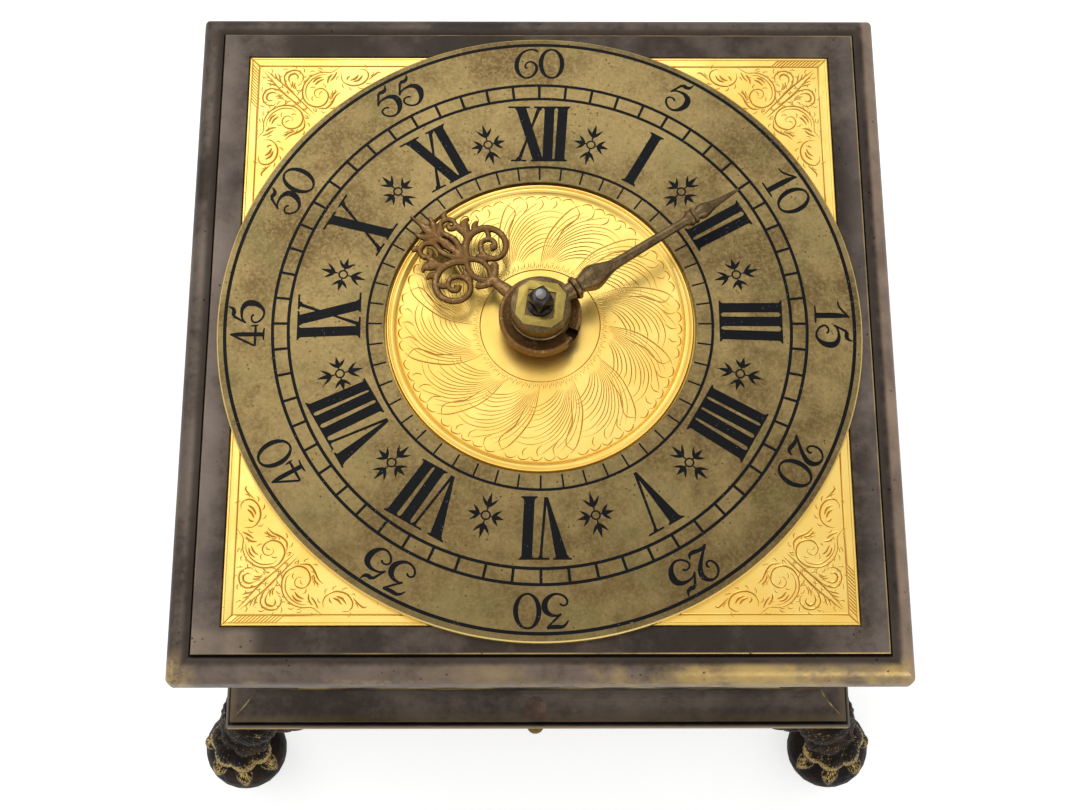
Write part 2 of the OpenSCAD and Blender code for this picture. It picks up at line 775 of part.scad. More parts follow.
module dial_plate() {
    color([0.93, 0.76, 0.33]) difference() {
        translate([0, 0, z_motion]) slab(dial_w, dial_w, dial_t);
        translate([0, 0, z_motion - cut]) cylinder(r = hour_pipe_r + run, h = dial_t + 2 * cut);
        dial_screw_places() translate([0, 0, z_motion - cut]) {
            cylinder(r = 1 + fit, h = dial_t + 2 * cut);
            translate([0, 0, cut + dial_t - 1]) cylinder(r = 1.5 + fit, h = 1 + cut);
        }
        ring_foot_places() translate([0, 0, z_motion - cut])
            cylinder(r = 1 + fit, h = dial_t + 2 * cut);
        dial_post_places() translate([0, 0, z_motion - cut])
            cylinder(r = 1.2 + fit, h = 1 + cut);
    }
}

module dial_screws() {
    color([0.4, 0.4, 0.42]) dial_screw_places() {
        translate([0, 0, z_motion - 6]) cylinder(r = 1, h = 6 + dial_t - 0.5);
        translate([0, 0, z_dial - 1 + fit]) cylinder(r = 1.5, h = 1 - 2 * fit);
    }
}

module ring_foot_places() { for (a = [45 : 90 : 315]) rotate(a) translate([46, 0, 0]) children(); }

module chapter_ring() {
    edge = 0.4;
    color([0.6, 0.52, 0.34]) difference() {
        translate([0, 0, z_dial]) rotate_extrude($fn = fine) polygon([[ring_in_r, 0],
            [ring_r, 0], [ring_r, ring_t - edge], [ring_r - edge, ring_t], [ring_in_r, ring_t]]);
        translate([0, 0, z_ring - wax_t]) linear_extrude(wax_t + cut) engraving();
    }
}

module wax_filling() {
    color([0.1, 0.11, 0.13]) translate([0, 0, z_ring - wax_t]) linear_extrude(wax_t) engraving();
}

module ring_feet() {
    color([0.6, 0.5, 0.3]) ring_foot_places() translate([0, 0, z_motion - 1.5])
        cylinder(r = 1, h = dial_t + 1.5);
}

module circle_line(r, w) {
    difference() {
        circle(r = r + w / 2, $fn = fine);
        circle(r = r - w / 2, $fn = fine);
    }
}

module tick(a, r0, r1, w) { rotate(a) translate([r0, -w / 2]) square([r1 - r0, w]); }

module engraving() {
    track_in_r = track_out_r - track_w;
    circle_line(ring_r - 1.6, circle_w);
    circle_line(track_out_r, circle_w);
    circle_line(track_in_r, circle_w);
    circle_line(quarter_r, circle_w * 0.8);
    for (i = [0 : 59]) tick(i * 6, track_in_r, track_out_r, circle_w);
    for (i = [0 : 47]) tick(i * 7.5, ring_in_r + 0.3, quarter_r, circle_w * 0.8);
    for (h = [1 : 12]) rotate(clock(h * 30) - 90) translate([0, hour_num_r]) roman(ROMAN[h - 1]);
    for (h = [0 : 11]) rotate(h * 30 + 15) translate([half_mark_r, 0]) half_mark();
}

// Width that a Roman letter takes
function letter_w(c) = c == "I" ? bar_w + 0.6 : c == "V" ? 5 : 5.3;
function text_w(s, n) = n == 0 ? 0 : letter_w(s[n - 1]) + text_w(s, n - 1);

module stroke(x0, y0, x1, y1, w0, w1) {
    polygon([[x0 - w0 / 2, y0], [x0 + w0 / 2, y0], [x1 + w1 / 2, y1], [x1 - w1 / 2, y1]]);
}

module serif(x0, x1, y) { translate([x0, y]) square([x1 - x0, serif_h]); }

module roman(s) {
    h = hour_num_h;
    total = text_w(s, len(s));
    for (i = [0 : len(s) - 1]) {
        w = letter_w(s[i]);
        x = text_w(s, i) + w / 2 - total / 2;
        if (s[i] == "I") {
            stroke(x, 0.1, x, h - 0.1, bar_w * 0.94, bar_w);
            serif(x - w / 2 - 0.5, x + w / 2 + 0.5, 0);
            serif(x - w / 2 - 0.5, x + w / 2 + 0.5, h - serif_h);
        }
        if (s[i] == "V") {
            stroke(x + 0.1, 0.1, x - 1.7, h - 0.1, 0.5, bar_w * 1.1);
            stroke(x + 0.1, 0.1, x + 1.7, h - 0.1, 0.3, thin_w);
            serif(x - 3.1, x - 0.5, h - serif_h);
            serif(x + 0.8, x + 2.7, h - serif_h);
        }
        if (s[i] == "X") {
            stroke(x + 1.8, 0.1, x - 1.8, h - 0.1, bar_w * 1.1, bar_w * 1.1);
            stroke(x - 1.9, 0.1, x + 1.9, h - 0.1, thin_w, thin_w);
            serif(x + 0.4, x + 3.1, 0);
            serif(x - 3, x - 0.9, 0);
            serif(x - 3.1, x - 0.4, h - serif_h);
            serif(x + 0.9, x + 3, h - serif_h);
        }
    }
}

// Four small leaves round a ring
module half_mark() {
    circle_line(0.75, 0.3);
    for (a = [0 : 90 : 270]) rotate(a) {
        polygon([[0.8, 0], [1.5, 0.55], [1.3, 1.1], [2.3, 0.5], [3.6, 0], [2.3, -0.5],
            [1.3, -1.1], [1.5, -0.55]]);
    }
}

module centre_disc() {
    disc_r = ring_in_r - 0.3;
    rim_h = 0.45;
    color([0.93, 0.76, 0.33]) translate([0, 0, z_dial]) rotate_extrude($fn = fine)
        polygon([[hour_pipe_r + run, 0], [disc_r, 0], [disc_r, disc_t + rim_h],
            [disc_r - 0.6, disc_t + rim_h], [disc_r - disc_rim_w, disc_t],
            [hour_pipe_r + run, disc_t]]);
}

// Toothed wheels

function tooth(a, n, m, w) =
    let (p = 360 / n, r = n * m / 2)
    [on_circle(r - root_m * m, a - w[0] * p), on_circle(r, a - w[1] * p),
        on_circle(r + tip_m * m, a - w[2] * p), on_circle(r + tip_m * m, a + w[2] * p),
        on_circle(r, a + w[1] * p), on_circle(r - root_m * m, a + w[0] * p)];

module toothed(n, m, w) {
    polygon([for (i = [0 : n - 1]) each tooth(i * 360 / n, n, m, w)]);
}

// The openings between the arms of a wheel
module crossings(r_out, r_hub, arms, arm_w) {
    difference() {
        circle(r = r_out);
        circle(r = r_hub);
        for (i = [0 : arms - 1]) rotate(i * 360 / arms) translate([0, -arm_w / 2])
            square([r_out + cut, arm_w]);
    }
}

module wheel(n, m, t, bore, arms = 4, arm_w = 2) {
    rim_r = n * m / 2 - root_m * m - 1.5;
    linear_extrude(t) difference() {
        toothed(n, m, wheel_tooth);
        crossings(rim_r, rim_r * 0.34, arms, arm_w);
        circle(r = bore);
    }
}

module pinion(n, m, h, bore) {
    linear_extrude(h) difference() {
        toothed(n, m, leaf_tooth);
        circle(r = bore);
    }
}

// An arbor that runs in both movement plates
module train_arbor() {
    translate([0, 0, z_floor + 0.3]) cylinder(r = arbor_r, h = plate_gap - 0.6);
    translate([0, 0, z_lower + 0.2]) cylinder(r = pivot_r, h = plate_gap + 2 * plate_t - 0.4);
}

// Motion work

module cannon_pinion() {
    color([0.7, 0.58, 0.3]) rotate(clock(minute_angle)) {
        translate([0, 0, z_cannon]) pinion(cannon_n, cannon_m, 2, centre_r + fit);
        difference() {
            translate([0, 0, z_cannon + 2]) cylinder(r = pipe_r, h = z_collet - z_cannon - 2);
            translate([0, 0, z_cannon]) cylinder(r = centre_r + fit, h = reach);
            translate([0, 0, z_cannon + 4.6]) cylinder(r = key_square / sqrt(2) + 2 * fit,
                h = reach);
        }
    }
}

module motion_post() {
    color([0.4, 0.4, 0.42]) at(on_circle(motion_d, motion_at), z_upper + plate_t - 1) {
        cylinder(r = 1, h = 1 + motion_gap - 0.2);
    }
}

module minute_wheel() {
    leaf_h = z_hour_wheel + hour_wheel_t + 0.3 - z_cannon - 1.6;
    color([0.75, 0.62, 0.32]) at(on_circle(motion_d, motion_at), z_cannon + 0.4) {
        rotate(minute_phase) wheel(minute_n, cannon_m, 1.2, 1 + run);
        translate([0, 0, 1.2]) pinion(minute_leaf_n, hour_m, leaf_h, 1 + run);
    }
}

module hour_wheel() {
    color([0.75, 0.62, 0.32]) {
        translate([0, 0, z_hour_wheel]) rotate(hour_phase) wheel(hour_n, hour_m, hour_wheel_t,
            pipe_r + run + 0.3, 5);
        translate([0, 0, z_hour_wheel]) pipe(hour_pipe_r, pipe_r + run,
            z_hour_boss + hour_boss_h - z_hour_wheel);
    }
}

// Hands

// The hour hand lies along +Y: pierced scrolls, a spear and a crown
module hour_hand_outline() {
    tip = hour_hand_l;
    mid = tip - 14.8;
    difference() {
        union() {
            translate([-1.25, 6]) square([2.5, mid - 9.6]);
            translate([0, mid - 1.8]) circle(r = 2.7);
            for (s = [-1, 1]) {
                translate([s * 4.6, mid]) circle(r = 3.5);
                translate([s * 2.7, mid + 7.2]) circle(r = 1.9);
                polygon([[s * 0.5, mid + 0.2], [s * 6.2, mid + 2.6], [s * 5.2, mid + 6.6],
                    [s * 4.1, mid + 4], [s * 0.8, mid + 3.4]]);
                polygon([[0, mid - 6.2], [s * 2.6, mid - 4.4], [s * 1, mid - 3.4]]);
            }
            polygon([[-1.3, mid + 2], [1.3, mid + 2], [1.7, mid + 5.6], [0.9, mid + 8.4],
                [1.9, mid + 9.4], [0.8, mid + 11.2], [0.22, tip], [-0.22, tip],
                [-0.8, mid + 11.2], [-1.9, mid + 9.4], [-0.9, mid + 8.4], [-1.7, mid + 5.6]]);
        }
        translate([0, mid - 2]) circle(r = 1.1);
        for (s = [-1, 1]) {
            translate([s * 4.7, mid]) circle(r = 1.9);
            translate([s * 2.8, mid + 7.2]) circle(r = 0.8);
        }
    }
    for (s = [-1, 1]) {
        translate([s * 4.2, mid - 0.3]) circle(r = 0.8);
        stroke(s * 4.2, mid - 0.3, s * 6, mid - 1.6, 0.7, 0.9);
    }
}

module hour_hand() {
    color([0.45, 0.32, 0.2]) rotate(-hour_angle) difference() {
        union() {
            translate([0, 0, z_hour]) linear_extrude(hour_hand_t) hour_hand_outline();
            translate([0, 0, z_hour_boss]) cylinder(r = hour_boss_r, h = hour_boss_h);
        }
        translate([0, 0, z_hour_boss - cut]) cylinder(r = hour_pipe_r + fit, h = 4);
    }
}

// The minute hand is turned: half outlines along its length
module minute_hand() {
    tip = minute_hand_l;
    knop = tip - 10.6;
    color([0.38, 0.32, 0.24]) rotate(clock(minute_angle)) difference() {
        union() {
            translate([0, 0, z_minute_boss]) rotate_extrude() polygon([[0, 0],
                [minute_boss_r - 0.5, 0], [minute_boss_r, 0.6],
                [minute_boss_r, minute_boss_h - 0.6], [minute_boss_r - 0.5, minute_boss_h],
                [0, minute_boss_h]]);
            translate([0, 0, z_minute]) rotate([0, 90, 0]) rotate_extrude($fn = 48)
                polygon([[0, 4.6], [1.5, 4.6], [2.2, 7.2], [2.2, 7.8], [1.6, 8.3], [1.6, 8.9],
                    [2.2, 10.3], [2.4, 11.2], [2.1, 12.4], [1.7, 13.7], [1.1, 15.5],
                    [0.9, 23.7], [0.8, knop - 1], [1.1, knop - 0.8], [1.55, knop - 0.3],
                    [1.1, knop + 0.2], [1.55, knop + 0.7], [1.05, knop + 1.2],
                    [1.45, knop + 2.5], [0.7, knop + 5.2], [0.4, knop + 8.6], [0.25, tip],
                    [0, tip]]);
        }
        translate([0, 0, z_minute_boss - cut]) cylinder(r = pipe_r + fit, h = 6);
    }
}

module minute_collet() {
    color([0.85, 0.68, 0.3]) translate([0, 0, z_collet]) rotate(clock(minute_angle) + collet_turn)
        linear_extrude(collet_h) difference() {
            intersection() {
                square(collet_w, center = true);
                rotate(45) square(collet_w * 1.12, center = true);
            }
            square(collet_hole, center = true);
        }
}

// Steel arbor through the whole movement, with a square for the key on top
module centre_arbor() {
    square_r = key_square / sqrt(2);
    tip_h = 1.6;
    z_square = z_collet + collet_h + 0.4;
    color([0.3, 0.3, 0.32]) rotate(clock(minute_angle) + arbor_turn) {
        translate([0, 0, z_lower + 0.4]) cylinder(r = centre_r, h = z_cannon + 5 - z_lower);
        translate([0, 0, z_cannon + 4.8]) cylinder(r = square_r, h = z_square - z_cannon - 4.8);
        intersection() {
            translate([0, 0, z_square - 0.2])
                slab(key_square, key_square, z_arbor - tip_h - z_square + 1);
            translate([0, 0, z_square - 0.2]) union() {
                cylinder(r = square_r, h = z_arbor - tip_h - z_square);
                translate([0, 0, z_arbor - tip_h - z_square])
                    cylinder(r1 = square_r, r2 = square_r - 1, h = 1);
            }
        }
        translate([0, 0, z_arbor - tip_h]) cylinder(r = 0.95, h = tip_h);
    }
}

// Movement plates

module pillar_places() {
    for (x = [-1, 1], y = [-1, 1]) translate([x * pillar_at, y * pillar_at, 0]) children();
}

module dial_post_places() {
    for (x = [-1, 1], y = [-1, 1]) translate([x * 33, y * 42, 0] * train) children();
}

module pivot_holes(z) {
    for (p = [third_xy, contrate_xy, pin_xy, lock_xy, fly_xy]) at(p, z - cut)
        cylinder(r = pivot_r + run, h = plate_t + 2 * cut);
    at([0, 0], z - cut) cylinder(r = centre_r + run, h = plate_t + 2 * cut);
    at(hammer_xy, z - cut) cylinder(r = 1.2 + run, h = plate_t + 2 * cut);
    pillar_places() translate([0, 0, z - cut]) cylinder(r = 1.4 + fit, h = plate_t + 2 * cut);
}

module upper_plate() {
    color([0.78, 0.65, 0.34]) difference() {
        translate([0, 0, z_upper]) slab(plate_w, plate_w, plate_t);
        pivot_holes(z_upper);
        for (p = [fusee_xy, barrel_xy, strike_xy]) at(p, z_upper - cut)
            cylinder(r = 1.4 + run, h = plate_t + 2 * cut);
        at([contrate_xy[0], verge_y], z_upper - cut) cylinder(r = pivot_r + run, h = 2);
        at(on_circle(motion_d, motion_at), z_upper + plate_t - 1) cylinder(r = 1 + fit, h = 2);
        dial_post_places() translate([0, 0, z_upper - cut])
            cylinder(r = 1.2 + fit, h = plate_t + 2 * cut);
    }
}

module lower_plate() {
    color([0.78, 0.65, 0.34]) difference() {
        translate([0, 0, z_lower]) slab(plate_w, plate_w, plate_t);
        pivot_holes(z_lower);
        for (p = [fusee_xy, barrel_xy]) at(p, z_lower - cut)
            cylinder(r = winding_r + run, h = plate_t + 2 * cut);
        at(strike_xy, z_lower - cut) cylinder(r = winding_r + 1.4, h = plate_t + 2 * cut);
        at([contrate_xy[0], verge_y], z_lower - cut) cylinder(r = verge_r + gap,
            h = plate_t + 2 * cut);
    }
}

module pillars() {
    color([0.8, 0.66, 0.35]) pillar_places() {
        translate([0, 0, z_lower - 1]) cylinder(r = 1.4, h = plate_gap + 2 * plate_t + 2.2);
        translate([0, 0, z_floor]) rotate_extrude() polygon([[0, 0], [3.4, 0], [3.4, 1.6],
            [2.4, 2.4], [2.2, 5], [3.6, 9], [3.2, 12], [pillar_r, 17], [pillar_r, 24],
            [3.2, plate_gap - 1.4], [3.2, plate_gap], [0, plate_gap]]);
        translate([0, 0, z_upper + plate_t + 0.7]) rotate([0, 90, 30])
            cylinder(r = 0.45, h = 6, center = true);
    }
}

module dial_posts() {
    color([0.8, 0.66, 0.35]) dial_post_places() {
        translate([0, 0, z_upper + plate_t]) cylinder(r = 2.3, h = motion_gap);
        translate([0, 0, z_upper - 1.6]) cylinder(r = 1.2,
            h = motion_gap + plate_t + 1.6 + 0.9);
        translate([0, 0, z_upper - 0.6]) rotate([0, 90, 0])
            cylinder(r = 0.45, h = 5, center = true);
    }
}

// Going train

// A closed drum with its bore
module drum(r, h, bore, wall) {
    difference() {
        cylinder(r = r, h = h);
        translate([0, 0, wall]) pipe(r - wall, bore + 1.2, h - 2 * wall);
        translate([0, 0, -cut]) cylinder(r = bore, h = h + 2 * cut);
    }
}

module going_barrel() {
    color([0.78, 0.65, 0.34]) at(barrel_xy, z_barrel)
        drum(r_barrel, barrel_h, winding_r + run, 1.2);
}

module barrel_arbor() {
    color([0.4, 0.4, 0.42]) at(barrel_xy) {
        translate([0, 0, z_lower - 1.2]) cylinder(r = winding_r,
            h = z_upper - 0.4 - z_lower + 1.2);
        translate([0, 0, z_lower + 1]) cylinder(r = 1.4, h = plate_gap + 2 * plate_t - 1.3);
        translate([0, 0, z_lower - 3.2]) slab(3, 3, 3);
        translate([0, 0, z_lower - 1.4]) linear_extrude(1.2) toothed(20, 0.6, [0.4, 0.25, 0.05]);
    }
}

function spiral(r0, r1, turns, side) = [for (i = [0 : turns * 24])
    on_circle(r0 + (r1 - r0) * i / (turns * 24) + side, i * 15)];

// A flat spiral strip
module coiled_strip(r0, r1, turns, t) {
    inner = spiral(r0, r1, turns, 0);
    outer = spiral(r0, r1, turns, t);
    polygon(concat(inner, [for (i = [len(outer) - 1 : -1 : 0]) outer[i]]));
}

module mainspring() {
    color([0.35, 0.38, 0.42]) at(barrel_xy, z_barrel + 2) linear_extrude(barrel_h - 4)
        coiled_strip(winding_r + 2.2, r_barrel - 2.2, 6, 0.7);
}

module fusee() {
    step = (fusee_h - 1) / fusee_grooves;
    outline = [for (i = [0 : fusee_grooves - 1]) let (z = 1 + i * step,
        r = fusee_radius(z_fusee + z)) each [[r, z], [r - 0.5, z + step / 2]]];
    color([0.8, 0.66, 0.35]) at(fusee_xy) {
        translate([0, 0, z_fusee]) rotate_extrude() polygon(concat([[0, 0], [r_fusee, 0]],
            outline, [[r_fusee_top, fusee_h], [r_fusee_top + 0.8, fusee_h],
            [r_fusee_top + 0.8, fusee_h + 1], [0, fusee_h + 1]]));
        translate([0, 0, z_fusee]) cylinder(r = 1.9, h = z_upper - 0.3 - z_fusee);
        translate([0, 0, z_lower + 0.2]) cylinder(r = 1.4, h = plate_gap + 2 * plate_t - 0.4);
        translate([0, 0, z_lower - 1]) cylinder(r = winding_r, h = z_fusee - z_lower + 1);
        translate([0, 0, z_lower - 4.4]) slab(3, 3, 4);
    }
}

module great_wheel() {
    color([0.78, 0.65, 0.34]) at(fusee_xy, z_great) rotate(great_phase)
        wheel(great_n, m_great, great_t, winding_r + fit, 6, 2.6);
}

// Route of the gut line, one unbroken tube
function gut_fusee_point(i) =
    let (t = 1 - i / (gut_fusee_turns * gut_steps), z = z_gut - t * gut_fusee_turns * gut_pitch,
        r = fusee_radius(z) + gap + gut_r, a = gut_angle + t * 360 * gut_fusee_turns)
    [fusee_xy[0] + r * cos(a), fusee_xy[1] + r * sin(a), z];
function gut_barrel_point(i) =
    let (t = i / (gut_barrel_turns * gut_steps), z = z_gut + t * gut_barrel_turns * gut_pitch,
        a = gut_angle - t * 360 * gut_barrel_turns)
    [barrel_xy[0] + gut_barrel_r * cos(a), barrel_xy[1] + gut_barrel_r * sin(a), z];
gut_route = concat([for (i = [0 : gut_fusee_turns * gut_steps]) gut_fusee_point(i)],
    [for (i = [0 : gut_barrel_turns * gut_steps]) gut_barrel_point(i)]);

function unit(v) = v / norm(v);
function tangent(p, i) = unit(p[min(i + 1, len(p) - 1)] - p[max(i - 1, 0)]);
function tube_ring(p, i, r, sides) =
    let (t = tangent(p, i), side = unit(cross(t, [0, 0, 1])), up = cross(side, t))
    [for (k = [0 : sides - 1]) p[i] + r * (cos(k * 360 / sides) * side
        + sin(k * 360 / sides) * up)];

module tube(p, r, sides) {
    n = len(p);
    points = [for (i = [0 : n - 1]) each tube_ring(p, i, r, sides)];
    walls = [for (i = [0 : n - 2], k = [0 : sides - 1]) let (a = i * sides + k,
        b = i * sides + (k + 1) % sides) each [[a, b, b + sides], [a, b + sides, a + sides]]];
    start = [for (k = [1 : sides - 2]) [0, k + 1, k]];
    end = [for (k = [1 : sides - 2]) [(n - 1) * sides, (n - 1) * sides + k,
        (n - 1) * sides + k + 1]];
    polyhedron(points, concat(walls, start, end));
}

// Least gap between points of the line that are more than half a turn apart
gut_gap = min([for (i = [0 : 2 : len(gut_route) - 1], j = [i + gut_steps / 2 : 1 : len(gut_route) - 1])
    norm(gut_route[i] - gut_route[j])]) - gut_d;
echo(gut_line_least_gap = gut_gap);

module gut_line() { color([0.75, 0.6, 0.38]) tube(gut_route, gut_r, 6); }

module centre_wheel() {
    color([0.78, 0.65, 0.34]) {
        translate([0, 0, z_centre_wheel]) wheel(centre_n, m_centre, wheel_t, centre_r + 0.5, 5);
        translate([0, 0, z_great - 0.4]) pinion(centre_leaf_n, m_great, great_t + 0.8,
            centre_r + run);
        translate([0, 0, z_great + great_t + 0.4]) pipe(2.4, centre_r + run,
            z_upper - 0.4 - z_great - great_t - 0.4);
    }
}

module third_wheel() {
    color([0.78, 0.65, 0.34]) at(third_xy) {
        train_arbor();
        translate([0, 0, z_third]) wheel(third_n, m_third, wheel_t, arbor_r - 0.2, 4);
        translate([0, 0, z_centre_wheel - 0.6]) rotate(third_leaf_phase)
            pinion(pinion_n, m_centre, 2.4, 0.6);
    }
}

module contrate_wheel() {
    outer = contrate_r + 0.5;
    inner = contrate_r - 0.7;
    pitch = 2 * PI * contrate_r / contrate_n;
    color([0.78, 0.65, 0.34]) at(contrate_xy) {
        train_arbor();
        translate([0, 0, z_third - 0.8]) rotate(contrate_leaf_phase)
            pinion(pinion_n, m_third, 3, 0.6);
        translate([0, 0, z_contrate]) linear_extrude(0.9) difference() {
            circle(r = inner + 0.3);
            crossings(inner - 0.6, 3, 4, 1.8);
        }
        translate([0, 0, z_contrate]) difference() {
            pipe(outer, inner, contrate_rim);
            for (i = [0 : contrate_n - 1])
                rotate(contrate_phase + (i + 0.5) * 360 / contrate_n)
                    translate([contrate_r, 0, contrate_rim - 1.6 * m_contrate - 0.3])
                        slab(3, pitch * 0.62, 2);
        }
    }
}

// Crown wheel on its level arbor, teeth towards the verge
module crown_wheel() {
    back_y = contrate_xy[1] + 3;
    tooth_deep = 2;
    color([0.78, 0.65, 0.34]) translate([contrate_xy[0], 0, crown_z]) rotate([-90, 0, 0]) {
        translate([0, 0, back_y]) cylinder(r = 0.6, h = crown_wheel_y + 1.6 - back_y);
        translate([0, 0, back_y + 2.2]) cylinder(r = 0.9,
            h = crown_leaf_y + 1.4 - back_y - 2.2);
        translate([0, 0, crown_leaf_y - 1.3]) rotate(90)
            pinion(pinion_n, m_contrate, 2.6, 0.5);
        translate([0, 0, crown_wheel_y]) difference() {
            union() {
                linear_extrude(0.8) difference() {
                    circle(r = r_crown);
                    crossings(r_crown - 1, 1.6, 4, 1.2);
                }
                pipe(r_crown, r_crown - 0.8, crown_rim);
            }
            for (i = [0 : crown_n - 1]) rotate(i * 360 / crown_n) rotate([90, 0, 90])
                linear_extrude(reach) polygon([[-1.05, crown_rim + cut],
                    [-1.05, crown_rim - 0.2], [-0.9, crown_rim - tooth_deep],
                    [1.1, crown_rim + 0.01], [1.1, crown_rim + cut]]);
        }
    }
}

// Two brackets hold the level arbor: one stands on the lower plate, one hangs
module crown_brackets() {
    inner_y = contrate_xy[1] + 4.2;
    outer_y = crown_leaf_y + 2.8;
    block_t = 1.8;
    x = contrate_xy[0];
    color([0.8, 0.66, 0.35]) difference() {
        union() {
            translate([x, inner_y, crown_z - 2.2]) slab(5, block_t, z_upper - crown_z + 2.2);
            translate([x, outer_y, z_floor]) slab(6, block_t - 0.4, crown_z + 2.4 - z_floor);
        }
        translate([x, 0, crown_z]) rotate([-90, 0, 0]) cylinder(r = 0.6 + run, h = reach);
    }
}

module verge_staff() {
    flag = 2.4;
    flag_h = 1.5;
    color([0.35, 0.35, 0.38]) at([contrate_xy[0], verge_y]) {
        translate([0, 0, z_cock + cock_t + 0.3]) cylinder(r = verge_r,
            h = z_upper - 0.3 - z_cock - cock_t - 0.3);
        translate([0, 0, z_cock + 0.3]) cylinder(r = pivot_r, h = z_upper + 0.8 - z_cock - 0.3);
        for (s = [-1, 1]) translate([0, 0, crown_z + s * (r_crown + gap + flag_h / 2)
            - flag_h / 2]) rotate(-90 + s * 50) translate([0, -0.3, 0]) cube([flag, 0.6, flag_h]);
    }
}

module balance_wheel() {
    color([0.8, 0.66, 0.35]) at([contrate_xy[0], verge_y], z_balance) {
        linear_extrude(balance_t) difference() {
            circle(r = r_balance);
            crossings(r_balance - 1.6, 2.2, 3, 1.6);
            circle(r = verge_r + fit);
        }
    }
}

// Bracket under the lower plate that carries the balance's pivot
module balance_cock() {
    foot_x = contrate_xy[0] - r_balance - 4;
    arm = contrate_xy[0] - foot_x;
    color([0.85, 0.7, 0.36]) difference() {
        union() {
            translate([foot_x, verge_y, z_cock]) slab(5, 8, z_lower - z_cock);
            translate([foot_x + arm / 2, verge_y, z_cock]) slab(arm, 3.4, cock_t);
            at([contrate_xy[0], verge_y], z_cock) cylinder(r = 3, h = cock_t);
        }
        at([contrate_xy[0], verge_y], z_cock - cut) cylinder(r = pivot_r + run,
            h = cock_t + 2 * cut);
    }
}

// Striking train

module strike_barrel() {
    notch_d = 2;
    color([0.78, 0.65, 0.34]) at(strike_xy) {
        translate([0, 0, z_strike]) wheel(strike_n, m_strike, 1.4, winding_r + run, 6, 2.4);
        translate([0, 0, z_strike + 3]) drum(r_strike, strike_h, winding_r + run, 1.2);
        translate([0, 0, z_count]) pipe(winding_r + 1.2, winding_r + run,
            z_strike + 3 - z_count);
        translate([0, 0, z_count]) linear_extrude(1.2) difference() {
            circle(r = r_count);
            crossings(r_count - 4, winding_r + 2.4, 3, 2.4);
            circle(r = winding_r + 0.6);
            for (n = [1 : 12]) rotate(n * (n + 1) / 2 * 360 / 78)
                translate([r_count - notch_d, -0.8]) square([notch_d + cut, 1.6]);
        }
    }
}

module strike_arbor() {
    color([0.4, 0.4, 0.42]) at(strike_xy) {
        translate([0, 0, z_count - 1]) cylinder(r = winding_r, h = z_upper - 0.4 - z_count + 1);
        translate([0, 0, z_floor]) cylinder(r = 1.4, h = plate_gap + plate_t - 0.3);
        translate([0, 0, z_count - 4.4]) slab(3, 3, 4);
    }
}

module pin_wheel() {
    pin_count = 8;
    color([0.78, 0.65, 0.34]) at(pin_xy) {
        train_arbor();
        translate([0, 0, z_pin]) wheel(pin_n, m_pin, 1, arbor_r - 0.2, 4);
        translate([0, 0, z_strike - 0.4]) rotate(pin_leaf_phase)
            pinion(pinion_n, m_strike, 2.2, 0.6);
        for (i = [0 : pin_count - 1]) rotate(i * 360 / pin_count) translate([pin_r, 0, z_pin])
            cylinder(r = 0.5, h = 3);
    }
}

module locking_wheel() {
    color([0.78, 0.65, 0.34]) at(lock_xy) {
        train_arbor();
        translate([0, 0, z_lock]) wheel(lock_n, m_lock, 1, arbor_r - 0.2, 4, 1.6);
        translate([0, 0, z_pin - 0.6]) rotate(lock_leaf_phase)
            pinion(pinion_n, m_pin, 2.2, 0.6);
    }
}

module fly() {
    color([0.78, 0.65, 0.34]) at(fly_xy) {
        train_arbor();
        translate([0, 0, z_lock - 0.6]) rotate(fly_leaf_phase)
            pinion(pinion_n, m_lock, 2.2, 0.6);
        translate([0, 0, z_fly]) slab(2 * r_fly, 0.8, fly_h);
    }
}

// Upright arbor with a tail at the pin wheel and a head at the bell
module hammer() {
    head_z = z_bell + 2.4;
    tail_l = pin_xy[0] - pin_r - 0.5 - gap - hammer_xy[0];
    arm = hammer_head - hammer_xy;
    color([0.5, 0.42, 0.3]) {
        at(hammer_xy, head_z) cylinder(r = 1.2, h = z_upper + plate_t - 0.3 - head_z);
        at(hammer_xy, z_floor + 0.4) cylinder(r = 1.8, h = plate_gap - 0.8);
        at(hammer_xy, z_pin + 1.4) translate([0, -0.6, 0]) cube([tail_l, 1.2, 1.4]);
        at(hammer_xy, head_z) rotate(atan2(arm[1], arm[0])) translate([0, -0.8, 0])
            cube([norm(arm), 1.6, 1.6]);
        at(hammer_head, head_z - 1) rotate(160) translate([0, 0, 2]) rotate([0, 90, 0])
            cylinder(r = 2.4, h = 5, center = true);
    }
}

top_frame();
wall_front();
wall_back();
wall_left();
wall_right();
corner_posts();
post_rods();
window_panes();
pane_frames();
base_frame();
foot_front_left();
foot_front_right();
foot_back_left();
foot_back_right();
foot_studs();
bottom_door();
door_hinge_pin();
bell_post();
bell();
bell_nut();
latch();
latch_stud();
dial_plate();
dial_screws();
chapter_ring();
wax_filling();
ring_feet();
centre_disc();
hour_wheel();
hour_hand();
minute_wheel();
motion_post();
cannon_pinion();
minute_hand();
minute_collet();
centre_arbor();
upper_plate();
lower_plate();
pillars();
dial_posts();
going_barrel();
barrel_arbor();
mainspring();
fusee();
great_wheel();
gut_line();
centre_wheel();
third_wheel();
contrate_wheel();
crown_wheel();
crown_brackets();
balance_wheel();
verge_staff();
balance_cock();
strike_barrel();
strike_arbor();
pin_wheel();
locking_wheel();
fly();
hammer();
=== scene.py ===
import math
import bpy
from mathutils import Matrix, Vector, geometry, kdtree, noise


